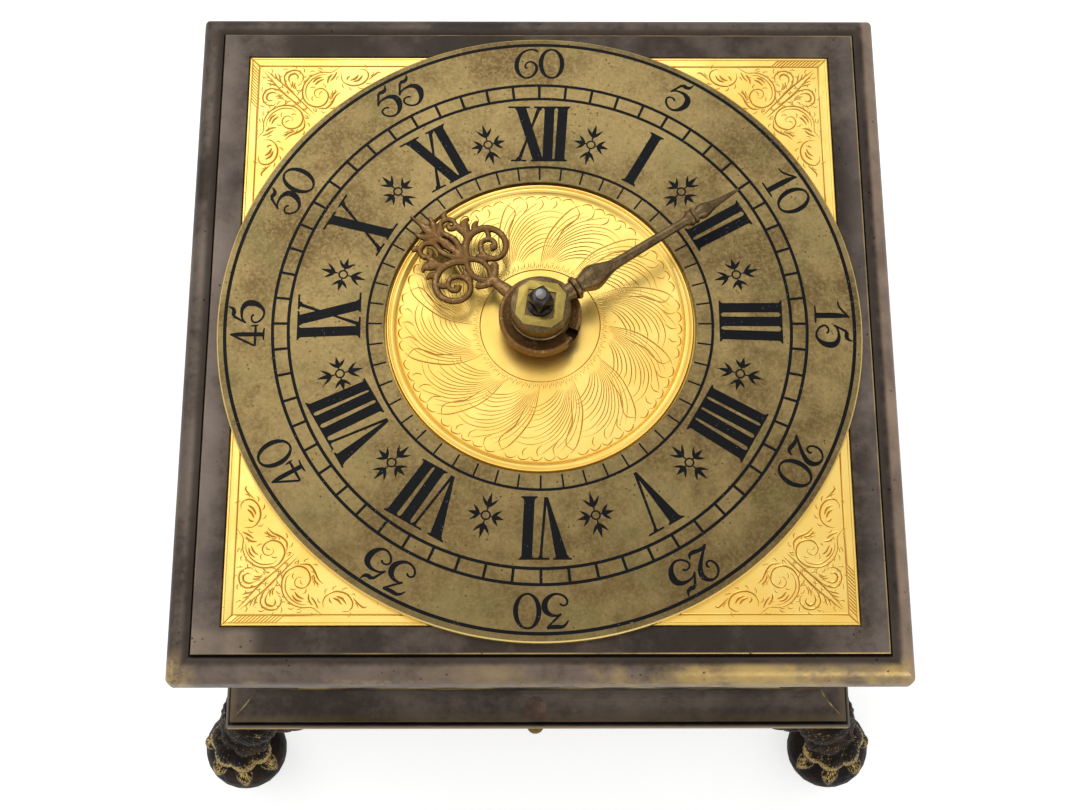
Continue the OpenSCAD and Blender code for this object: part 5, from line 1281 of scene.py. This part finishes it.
def turned_along(name, outline, angle, z, steps=40):
    """A piece turned about a level axis at an angle on the dial."""
    piece = turned(name, outline, steps)
    swing = Matrix.Rotation(math.radians(90 - angle), 4, "Z")
    lay = Matrix.Rotation(math.radians(90), 4, "Y")
    piece.data.transform(Matrix.Translation((0, 0, z * MM)) @ swing @ lay)
    return piece


class CLOCK_OT_hour_hand(bpy.types.Operator):
    """Models the pierced hour hand in one casting"""

    bl_idname = "clock.hour_hand"
    bl_label = "Hour hand"

    angle: bpy.props.FloatProperty(name="Angle", description="Clockwise from 12",
                                   default=math.radians(-50.5), subtype="ANGLE")
    stout: bpy.props.FloatProperty(name="Stoutness", default=1.18,
                                   description="How much wider the scrolls are than drawn")

    def execute(self, context):
        bottom, top = low("hour_hand").z, high("hour_hand").z
        z_blade = bottom + 0.4 + 0.66
        strips = []
        for thick, path in HOUR_HAND_MIDDLE:
            strips.append(rounded_strip("strip", smooth(path, 6), thick, z_blade))
        # The two sides aren't quite alike
        for side, swell, lift in ((-1, 1.03, 0), (1, 0.97, 0.25)):
            for thick, path in HOUR_HAND_SIDE:
                drawn_path = [(side * x * swell, y + lift, w * self.stout) for x, y, w in path]
                strips.append(rounded_strip("strip", smooth(drawn_path, 6), thick, z_blade))
        hand = join("hour_hand_blade", strips)
        apply_modifier(hand, "REMESH", mode="VOXEL", voxel_size=0.11 * MM)
        apply_modifier(hand, "SMOOTH", iterations=2, factor=0.5)
        mark(hand, "raised", [(v.co.z / MM - z_blade) / 0.62 for v in hand.data.vertices])
        hand.data.transform(Matrix.Rotation(-self.angle, 4, "Z"))
        boss = turned("hour_hand_boss", [
            (3.0, bottom), (7.35, bottom), (7.6, bottom + 0.25), (7.6, bottom + 1.1),
            (7.5, bottom + 1.3), (7.6, bottom + 1.5), (7.6, top - 0.3), (7.4, top - 0.06),
            (7.1, top), (6.75, top - 0.08), (6.5, top - 0.22), (3.0, top - 0.22)], 96)
        notch_angle = math.radians(122)
        notch = drawn("notch", [(x, y, z) for z in (bottom + 0.5, top + 1)
                                for x, y in ((-0.75, 5.6), (0.75, 5.6), (1.05, 9), (-1.05, 9))],
                      faces=[(3, 2, 1, 0), (4, 5, 6, 7), (0, 1, 5, 4), (1, 2, 6, 5), (2, 3, 7, 6),
                             (3, 0, 4, 7)])
        notch.data.transform(Matrix.Rotation(-notch_angle, 4, "Z"))
        apply_modifier(boss, "BOOLEAN", operation="DIFFERENCE", object=notch, solver="EXACT")
        bpy.data.objects.remove(notch)
        cut_at = Vector((math.sin(notch_angle), math.cos(notch_angle))) * 7
        mark(boss, "raised", [
            -0.6 if (v.co.to_2d() / MM - cut_at).length < 2 and v.co.z / MM < top - 0.3 else 0.85
            for v in boss.data.vertices])
        hand = join("hour_hand_finished", [hand, boss])
        fit(hand, copper_finish(context.scene.clock_finish), "hour_hand_brass", "hour", "hour_hand",
            crease=40)
        return {"FINISHED"}


# Outline of the minute hand: (radius, distance from the middle of the dial) in mm
MINUTE_SHAFT = [
    (0, 4.4), (1.5, 4.4), (1.6, 6.9), (2.0, 7.1), (2.25, 7.5), (2.2, 7.9), (1.75, 8.2),
    (1.55, 8.6), (1.6, 8.95), (2.0, 9.8), (2.33, 10.6), (2.42, 11.3), (2.3, 12.1), (2.05, 12.9),
    (1.72, 13.8), (1.35, 14.8), (1.12, 15.8), (1.02, 17.2), (0.98, 18.8), (0.9, 23.7),
    (0.8, 31.2), (0.85, 31.9), (1.1, 32.1), (1.2, 32.4), (1.5, 32.7), (1.55, 33.0),
    (1.45, 33.2), (1.1, 33.3), (1.4, 33.5), (1.55, 33.8), (1.45, 34.1), (1.05, 34.3),
    (1.1, 34.6), (1.35, 35.1), (1.45, 35.7), (1.32, 36.4), (1.0, 37.4), (0.72, 38.6),
    (0.55, 40.2), (0.4, 42.0), (0.26, 43.7), (0, 43.8),
]


class CLOCK_OT_minute_hand(bpy.types.Operator):
    """Turns the minute hand and its boss, and finishes its collet and arbor"""

    bl_idname = "clock.minute_hand"
    bl_label = "Minute hand"

    angle: bpy.props.FloatProperty(name="Angle", description="Clockwise from 12",
                                   default=math.radians(57), subtype="ANGLE")

    def execute(self, context):
        colours = context.scene.clock_finish
        bottom, top = low("minute_hand").z, high("minute_hand").z
        z_shaft = Z_DIAL + 8.9
        shaft = turned_along("minute_shaft", MINUTE_SHAFT, math.degrees(self.angle), z_shaft)
        boss = turned("minute_boss", [
            (2.2, bottom), (4.6, bottom), (5.2, bottom + 0.25), (5.5, bottom + 0.7),
            (5.5, bottom + 0.95), (5.25, bottom + 1.15), (5.15, bottom + 1.5), (5.35, bottom + 1.8),
            (5.6, bottom + 2.1), (5.6, bottom + 2.5), (5.35, top - 0.2), (5.0, top - 0.02),
            (2.2, top)], 96)
        finish = old_metal("Minute hand brown", colours.bronze, BRONZE_DARK, 3.4, 0.26,
                           relief=0.4)
        hand = join("minute_hand_finished", [boss, shaft])
        fit(hand, finish, "minute_hand_brass", "minute", "minute_hand", crease=40)
        brass = old_metal("Collet brass", COLLET_LIGHT, COLLET_DARK, 2.4, 0.36, relief=0.5)
        dressed("minute_collet", 0.22, brass, "collet_brass", "minute")
        dressed("centre_arbor", 0.12, arbor_finish(), "steel", "minute")
        return {"FINISHED"}


class CLOCK_OT_top_frame(bpy.types.Operator):
    """Shapes the moulded top frame round the dial"""

    bl_idname = "clock.top_frame"
    bl_label = "Top frame"

    def execute(self, context):
        case = context.scene.clock_case
        edge, inside, soft = BORDER_EDGE, high("dial_plate").x + 0.12, 0.14
        outline = [(inside, Z_DIAL - 2), (inside, Z_DIAL - 0.2), (inside + soft, Z_DIAL),
                   (edge - soft, Z_DIAL), (edge, Z_DIAL - soft), (edge, Z_DIAL - 0.85),
                   (edge + 0.1, Z_DIAL - 0.95), (edge + 0.3, Z_DIAL - 0.95)]
        cove = (61.7, 87.8, 3.6)
        outline += arc(*ROLL, 110, 0, 18)
        outline += arc(ROLL[0], ROLL[1] - ROLL_FLANK, ROLL[2], 0, -90, 12)
        outline += arc(*cove, 91, 176, 9)
        outline += [(58.0, Z_TOP), (53.05, Z_TOP), (53.05, Z_DIAL - 2)]
        frame_piece = mitred("top_frame_finished", outline, high("top_frame").x - case.corner / MM)
        fit(frame_piece, frame_finish(context.scene.clock_finish), "frame_brass", "case",
            "top_frame", crease=28)
        return {"FINISHED"}


class CLOCK_OT_base_frame(bpy.types.Operator):
    """Shapes the moulded base and its hinge knuckles"""

    bl_idname = "clock.base_frame"
    bl_label = "Base frame"

    def execute(self, context):
        finish = base_finish(context.scene.clock_finish)
        edge, band, inner, rebate = BASE_EDGE, BASE_EDGE - 1, 50.3, 52.6
        outline = [(rebate, Z_BASE), (edge - 0.2, Z_BASE), (edge, Z_BASE + 0.25),
                   (edge, Z_BASE + 1.95), (edge - 0.2, Z_BASE + 2.2), (band + 0.25, Z_BASE + 2.2),
                   (band - 0.15, Z_BASE + 2.05), (band - 0.25, Z_BASE + 2.2),
                   (band - 0.25, Z_BASE + 2.45), (band, Z_BASE + 2.6), (band, Z_BASE + 3.6)]
        hollow = (63.6, 46.0, 6.2)
        outline += arc(*hollow, 266, 190, 14)
        outline += [(57.7, 44.95), (57.7, Z_WALL - 0.15), (57.55, Z_WALL), (inner, Z_WALL),
                    (inner, Z_BASE + 2.4), (rebate, Z_BASE + 2.4)]
        moulding = mitred("base_frame_finished", outline, edge - 0.35)
        hinge_y, hinge_z, gap = 52.45, 35.4, 0.3
        radius = hinge_z - low("base_frame").z
        lay = Matrix.Rotation(math.radians(90), 4, "Y")
        knuckles = []
        for x_from, x_to in ((-38, -23), (-7.6, 7.6), (23, 38)):
            bar = turned("knuckle", [(0.8, x_from + gap), (radius - 0.15, x_from + gap),
                                     (radius, x_from + gap + 0.15), (radius, x_to - gap - 0.15),
                                     (radius - 0.15, x_to - gap), (0.8, x_to - gap)], 32)
            bar.data.transform(Matrix.Translation((0, hinge_y * MM, hinge_z * MM)) @ lay)
            knuckles.append(bar)
        moulding = join("base_frame_finished", [moulding, *knuckles])
        fit(moulding, finish, "base_brass", "case", "base_frame", crease=28)
        steel = old_metal("Stud steel", STUD_LIGHT, STUD_DARK, 2, 0.4)
        stud = dressed("latch_stud", 0.08, steel, "steel", "case")
        proud = 0.05 * MM
        stud.data.transform(Matrix.Translation((0, -proud, proud)))
        return {"FINISHED"}


def ball(name, centre, radii, tilt=(0, 0, 0)):
    """A stretched ball, as a lump of the wax model that the foot is cast from."""
    bpy.ops.mesh.primitive_ico_sphere_add(subdivisions=3, radius=MM)
    lump = bpy.context.active_object
    lump.name = name
    turn = Matrix.Rotation(math.radians(tilt[2]), 4, "Z")
    lean = Matrix.Rotation(math.radians(tilt[1]), 4, "Y")
    place = Matrix.Translation(Vector(centre) * MM)
    lump.data.transform(place @ turn @ lean @ Matrix.Diagonal((*radii, 1)))
    return lump


def foot_lumps(foot_height):
    """Lumps of a claw and ball foot whose front looks along +X. Its ball stands on the origin."""
    lumps = [ball("ball", (0, 0, BALL_Z), (BALL_R, BALL_R, BALL_Z))]
    for a in (0, 50, -50, 101, -101):
        c, s = math.cos(math.radians(a)), math.sin(math.radians(a))
        for rise, out, size in ((76, 6.8, 2.2), (66, 7.2, 2.2), (57, 7.6, 2.2), (48, 7.85, 2.15),
                                (40, 7.95, 2.1), (33, 8.0, 1.8), (26, 8.2, 1.3), (19, 8.45, 0.8)):
            r = out * math.cos(math.radians(rise))
            z = BALL_Z + out * math.sin(math.radians(rise))
            lumps.append(ball("toe", (r * c, r * s, z), (size, size * 0.95, size), (0, 0, a)))
        lumps.append(ball("skirt", (4.3 * c - 0.5, 4.3 * s, 19.0), (2.3, 2.9, 4.2), (0, -24, a)))
        lumps.append(ball("tuft", (3.3 * c - 2.6, 3.9 * s, 24.4), (2.0, 3.0, 3.8),
                          (0, -12, a + 25)))
        lumps.append(ball("tuft", (3.8 * c - 4.7, 4.6 * s, 30.2), (1.8, 3.0, 4.0), (0, -8, a)))
    steps, ankle_z = 19, 15.5
    for k in range(steps + 1):
        share_up = k / steps
        z = ankle_z + (foot_height - ankle_z) * share_up
        lean = -0.8 - 5.6 * share_up ** 1.2
        size = 3.9 + 2.1 * share_up
        lumps.append(ball("ankle", (lean, 0, min(z, foot_height - 2.3)), (size, size, 2.4)))
    return lumps


def leaf_under(along):
    """Height of the leaf's lower edge, a hollow curve, at a distance from the ball's middle."""
    return 13.8 + math.sqrt(max(0, 21 ** 2 - (25 - along) ** 2))


def wing_lumps(foot_height):
    """Lumps of the leaf that runs under the base along -X, away from the ball's middle."""
    lumps = []
    for k in range(16):
        along = 3 + 19.2 * k / 15
        deep = max(1.3, foot_height - max(leaf_under(along), 25.5))
        lumps.append(ball("wing", (-along, 0, foot_height - deep / 2), (2.1, 2.3, deep / 2)))
    for k in range(6):
        along = 6.5 + 2.9 * k
        under = leaf_under(along)
        size = 2.0 - 0.2 * k
        for side in (-1, 1):
            lumps.append(ball("lobe", (-along, side * (2.1 - 0.1 * k), max(under, 26) + 0.6 * size),
                              (size * 1.5, 1.0, size * 0.95), (0, -28, 0)))
            lumps.append(ball("upper_lobe", (-along, side * (2.5 - 0.15 * k), foot_height - 1.7),
                              (size * 1.25, 0.75, size * 0.8), (0, -34, 0)))
    return lumps


class CLOCK_OT_feet(bpy.types.Operator):
    """Models a claw and ball foot once and sets it under each corner"""

    bl_idname = "clock.feet"
    bl_label = "Feet"

    def execute(self, context):
        case = context.scene.clock_case
        lumps = foot_lumps(Z_BASE)
        to_corner = Matrix.Rotation(math.radians(45), 4, "Z")
        for lump in lumps:
            lump.data.transform(Matrix.Translation((FOOT_AT * MM, FOOT_AT * MM, 0)) @ to_corner)
        along, across = FOOT_AT - 3, FOOT_AT - 3.4
        for turn, shift in ((0, (along, across)), (90, (across, along))):
            for lump in wing_lumps(Z_BASE):
                lump.data.transform(Matrix.Translation((shift[0] * MM, shift[1] * MM, 0))
                                    @ Matrix.Rotation(math.radians(turn), 4, "Z"))
                lumps.append(lump)
        foot = join("foot_form", lumps)
        apply_modifier(foot, "REMESH", mode="VOXEL", voxel_size=case.voxel)
        apply_modifier(foot, "SMOOTH", iterations=1, factor=0.5)
        self.chase(foot, case.hair / MM)
        finish = foot_finish(context.scene.clock_finish)
        for name, x_side, y_side in (("back_right", 1, 1), ("back_left", -1, 1),
                                     ("front_right", 1, -1), ("front_left", -1, -1)):
            copy = bpy.data.objects.new(f"foot_{name}_finished", foot.data.copy())
            context.scene.collection.objects.link(copy)
            copy.data.transform(Matrix.Diagonal((x_side, y_side, 1, 1)))
            if x_side * y_side < 0:
                copy.data.flip_normals()
            fit(copy, finish, "foot_brass", "case", "foot_" + name, crease=60)
        bpy.data.objects.remove(foot)
        return {"FINISHED"}

    def chase(self, foot, deep):
        """Cuts hair into the surface, keeps it under the base, and marks what stands out."""
        mesh = foot.data
        # Height from which the surface is chased, and height of the claw's upper end
        hair_z, claw_end = 17.0, 17.2
        normals = [v.normal.copy() for v in mesh.vertices]
        places, rub, around = [], [], []
        for vertex, normal in zip(mesh.vertices, normals):
            place = vertex.co / MM
            out = Vector((place.x - FOOT_AT, place.y - FOOT_AT, place.z - BALL_Z))
            along = math.atan2(out.y, out.x) - math.radians(45)
            lift = out.length - BALL_R
            around.append(8 * along)
            if place.z > hair_z:
                wander = 2.0 * noise.noise(place * 0.35)
                strands = math.sin(along * 40 + place.z * 0.6 + wander)
                rough = 0.6 + 0.4 * noise.noise(place)
                grow = min(1.0, (place.z - hair_z) / 2)
                place += normal * deep * grow * 0.5 * (strands - 1) * rough
            place.z = min(max(place.z, 0.02), Z_BASE - 0.02)
            places += (place * MM)[:]
            if place.z < claw_end:
                rim = max(0.0, 1 - abs(place.z - 7.5) / 3.0)
                tip = min(1.0, 1.5 * max(0.0, 1 - abs(place.z - 13.2) / 3.6))
                skirt = 0.9 * min(1.0, max(0.0, (lift - 0.5) / 0.5))
                rub.append(max(tip * min(1.0, max(0.0, lift / 0.25)), skirt) + 0.85 * rim)
            else:
                rub.append(max(0.0, 1 - abs(place.z - 18.6) / 2.2) + 0.35)
        mesh.vertices.foreach_set("co", places)
        mark(foot, "rub", rub)
        mark(foot, "around", around)
        mesh.update()


class CLOCK_OT_walls(bpy.types.Operator):
    """Finishes the walls, corner posts and windows of the case"""

    bl_idname = "clock.walls"
    bl_label = "Walls and windows"

    def execute(self, context):
        edge = context.scene.clock_case.edge / MM
        colours = context.scene.clock_finish
        finish = Finish("Wall patina", 0.9, 0.42)
        mottle = finish.noise(9, 4, 0.65)
        rub = finish.all_of((finish.noise(2.4, 4, 0.7), 0.56, 0.74), (mottle, 0.5, 0.7), 0.4)
        tone = finish.layers(WALL_DARK, ((mottle, 0.38, 0.6), WALL_LIGHT), (rub, colours.worn))
        finish.paint_with("Base Color", tone)
        finish.relief((mottle, 0.05), (finish.noise(0.6, 3), 0.015))
        for side in ("front", "back", "left", "right"):
            dressed("wall_" + side, edge, finish.material, "case_brass", "case")
        dressed("corner_posts", edge, finish.material, "case_brass", "case")
        dressed("pane_frames", edge * 0.7, finish.material, "case_brass", "case")
        dressed("window_panes", 0.1, glass_finish(), "glass", "case")
        return {"FINISHED"}


class CLOCK_OT_door(bpy.types.Operator):
    """Finishes the bottom door with its bell and latch"""

    bl_idname = "clock.door"
    bl_label = "Bottom door and bell"

    def execute(self, context):
        colours = context.scene.clock_finish
        edge = context.scene.clock_case.edge / MM
        brass = old_metal("Door brass", DOOR_LIGHT, DOOR_DARK, 9, 0.38)
        dressed("bottom_door", edge, brass, "door_brass", "door")
        dressed("latch", edge, brass, "door_brass", "latch_body")
        bronze = old_metal("Bell metal", colours.bell, BELL_DARK, 12, 0.24)
        coat(bronze, "bell")
        steel = old_metal("Polished steel", colours.steel, POLISHED_DARK, 3, 0.28)
        coat(steel, "door_hinge_pin", "bell_nut", "bell_post")
        return {"FINISHED"}


def coat(finish, *names):
    """Gives solids that are shown as they are their finish."""
    for name in names:
        mesh = SOLIDS[name].data
        mesh.materials.clear()
        mesh.materials.append(finish)


class CLOCK_OT_movement(bpy.types.Operator):
    """Finishes the plates, wheels, springs and line of the movement"""

    bl_idname = "clock.movement"
    bl_label = "Movement"

    def execute(self, context):
        colours = context.scene.clock_finish
        brass = old_metal("Movement brass", colours.movement, MOVEMENT_DARK, 8, 0.3)
        steel = old_metal("Movement steel", colours.steel, STEEL_DARK, 4, 0.3)
        for name in ("upper_plate", "lower_plate", "pillars", "dial_posts"):
            dressed(name, 0.15, brass, "movement_brass", "case")
        coat(brass, "going_barrel", "fusee", "great_wheel", "centre_wheel", "third_wheel",
             "contrate_wheel", "crown_wheel", "balance_wheel", "balance_cock", "crown_brackets",
             "strike_barrel", "pin_wheel", "locking_wheel", "fly", "hour_wheel", "minute_wheel",
             "cannon_pinion", "motion_post", "ring_feet")
        coat(steel, "barrel_arbor", "strike_arbor", "mainspring", "verge_staff", "hammer",
             "post_rods", "foot_studs", "dial_screws")
        coat(gut_finish(colours), "gut_line")
        return {"FINISHED"}


# Lamps: name, place and size in m, and share of the main lamp's power
LAMPS = (("overhead", (-0.35, 0.55, 0.85), 0.9, 1), ("left", (-0.9, -0.25, 0.5), 0.5, 0.28),
         ("front", (0.45, -0.85, 0.6), 0.5, 0.4))


class CLOCK_OT_stage(bpy.types.Operator):
    """Sets up the camera, the lamps and the floor"""

    bl_idname = "clock.stage"
    bl_label = "Stage"

    def execute(self, context):
        stage = context.scene.clock_stage
        self.camera(context, stage)
        self.floor()
        self.world(context)
        for name, place, size, share_of_power in LAMPS:
            self.lamp(context, name, place, size, stage.lamp_power * share_of_power)
        context.scene.view_settings.view_transform = "Standard"
        return {"FINISHED"}

    def camera(self, context, stage):
        """The camera looks at the target from above the front, with the picture turned a little."""
        rise, swing = stage.rise, stage.swing
        back = Vector((math.sin(swing) * math.cos(rise), -math.cos(swing) * math.cos(rise),
                       math.sin(rise)))
        right = Vector((0, 0, 1)).cross(back).normalized()
        upward = back.cross(right)
        c, s = math.cos(stage.roll), math.sin(stage.roll)
        turned_right, turned_up = c * right + s * upward, c * upward - s * right
        bpy.ops.object.camera_add()
        camera = context.active_object
        camera.name = "camera"
        camera.data.lens = stage.lens
        camera.data.sensor_width = 36
        camera.data.clip_start = 0.01
        place = Vector(stage.target) + back * stage.distance
        basis = Matrix((turned_right, turned_up, back)).transposed()
        camera.matrix_world = Matrix.Translation(place) @ basis.to_4x4()
        context.scene.camera = camera

    def floor(self):
        """Pale floor that keeps the clock's shadow and is white to the camera."""
        bpy.ops.mesh.primitive_plane_add(size=12, location=(0, 0, -0.0001))
        floor = bpy.context.active_object
        floor.name = "floor"
        finish = Finish("Floor", 0.0, 0.9)
        seen = finish.add("LightPath", {}).outputs["Is Camera Ray"]
        finish.paint_with("Base Color", finish.mix(seen, FLOOR_LIT, FLOOR_SEEN))
        finish.paint_with("Specular IOR Level", 0.0)
        finish.paint_with("Emission Color", (1, 1, 1, 1))
        finish.paint_with("Emission Strength", finish.sum("MULTIPLY", seen, 0.55))
        floor.data.materials.append(finish.material)

    def world(self, context):
        """Even pale light, a little brighter low down; white behind the clock."""
        world = bpy.data.worlds.new("studio")
        nodes = Nodes(world)
        place = nodes.add("TexCoord", {}).outputs["Generated"]
        up = nodes.add("SeparateXYZ", {0: place}).outputs["Z"]
        horizon, zenith = 0.95, 0.84
        seen = nodes.add("LightPath", {}).outputs["Is Camera Ray"]
        strength = nodes.sum("MAXIMUM", nodes.fade(up, 0, 1, horizon, zenith, "LINEAR"), seen)
        light = nodes.tree.nodes["Background"]
        nodes.put((1, 1, 1, 1), light.inputs["Color"])
        nodes.put(strength, light.inputs["Strength"])
        context.scene.world = world

    def lamp(self, context, name, place, size, power):
        """A large soft lamp that faces the clock."""
        bpy.ops.object.light_add(type="AREA", location=place)
        lamp = context.active_object
        lamp.name = "lamp_" + name
        lamp.data.size = size
        lamp.data.energy = power
        facing = Vector((0, 0, 0.08)) - Vector(place)
        lamp.rotation_euler = facing.to_track_quat("-Z", "Y").to_euler()


GROUPS = (("clock_dial", DialSettings), ("clock_case", CaseSettings),
          ("clock_finish", FinishSettings), ("clock_stage", StageSettings))
OPERATORS = (CLOCK_OT_stage, CLOCK_OT_top_frame, CLOCK_OT_gilt_plate, CLOCK_OT_hour_ring,
             CLOCK_OT_centre_disc, CLOCK_OT_hour_hand, CLOCK_OT_minute_hand, CLOCK_OT_base_frame,
             CLOCK_OT_feet, CLOCK_OT_walls, CLOCK_OT_door, CLOCK_OT_movement)


class CLOCK_PT_pieces(bpy.types.Panel):
    """Settings and pieces of the table clock"""

    bl_idname = "CLOCK_PT_pieces"
    bl_label = "Table clock"
    bl_space_type = "VIEW_3D"
    bl_region_type = "UI"
    bl_category = "Table clock"

    def draw(self, context):
        for name, group in GROUPS:
            box = self.layout.box()
            box.label(text=group.__doc__)
            for setting in group.__annotations__:
                box.prop(getattr(context.scene, name), setting)
        for operator in OPERATORS:
            self.layout.operator(operator.bl_idname)


def register():
    for name, group in GROUPS:
        bpy.utils.register_class(group)
        setattr(bpy.types.Scene, name, bpy.props.PointerProperty(type=group))
    for operator in (*OPERATORS, CLOCK_PT_pieces):
        bpy.utils.register_class(operator)


def unregister():
    for operator in (CLOCK_PT_pieces, *reversed(OPERATORS)):
        bpy.utils.unregister_class(operator)
    for name, group in reversed(GROUPS):
        delattr(bpy.types.Scene, name)
        bpy.utils.unregister_class(group)


def main():
    """Makes every piece."""
    register()
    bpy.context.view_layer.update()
    bpy.ops.clock.stage()
    bpy.ops.clock.top_frame()
    bpy.ops.clock.gilt_plate()
    bpy.ops.clock.hour_ring()
    bpy.ops.clock.centre_disc()
    bpy.ops.clock.hour_hand()
    bpy.ops.clock.minute_hand()
    bpy.ops.clock.base_frame()
    bpy.ops.clock.feet()
    bpy.ops.clock.walls()
    bpy.ops.clock.door()
    bpy.ops.clock.movement()


if __name__ == "__main__":
    main()
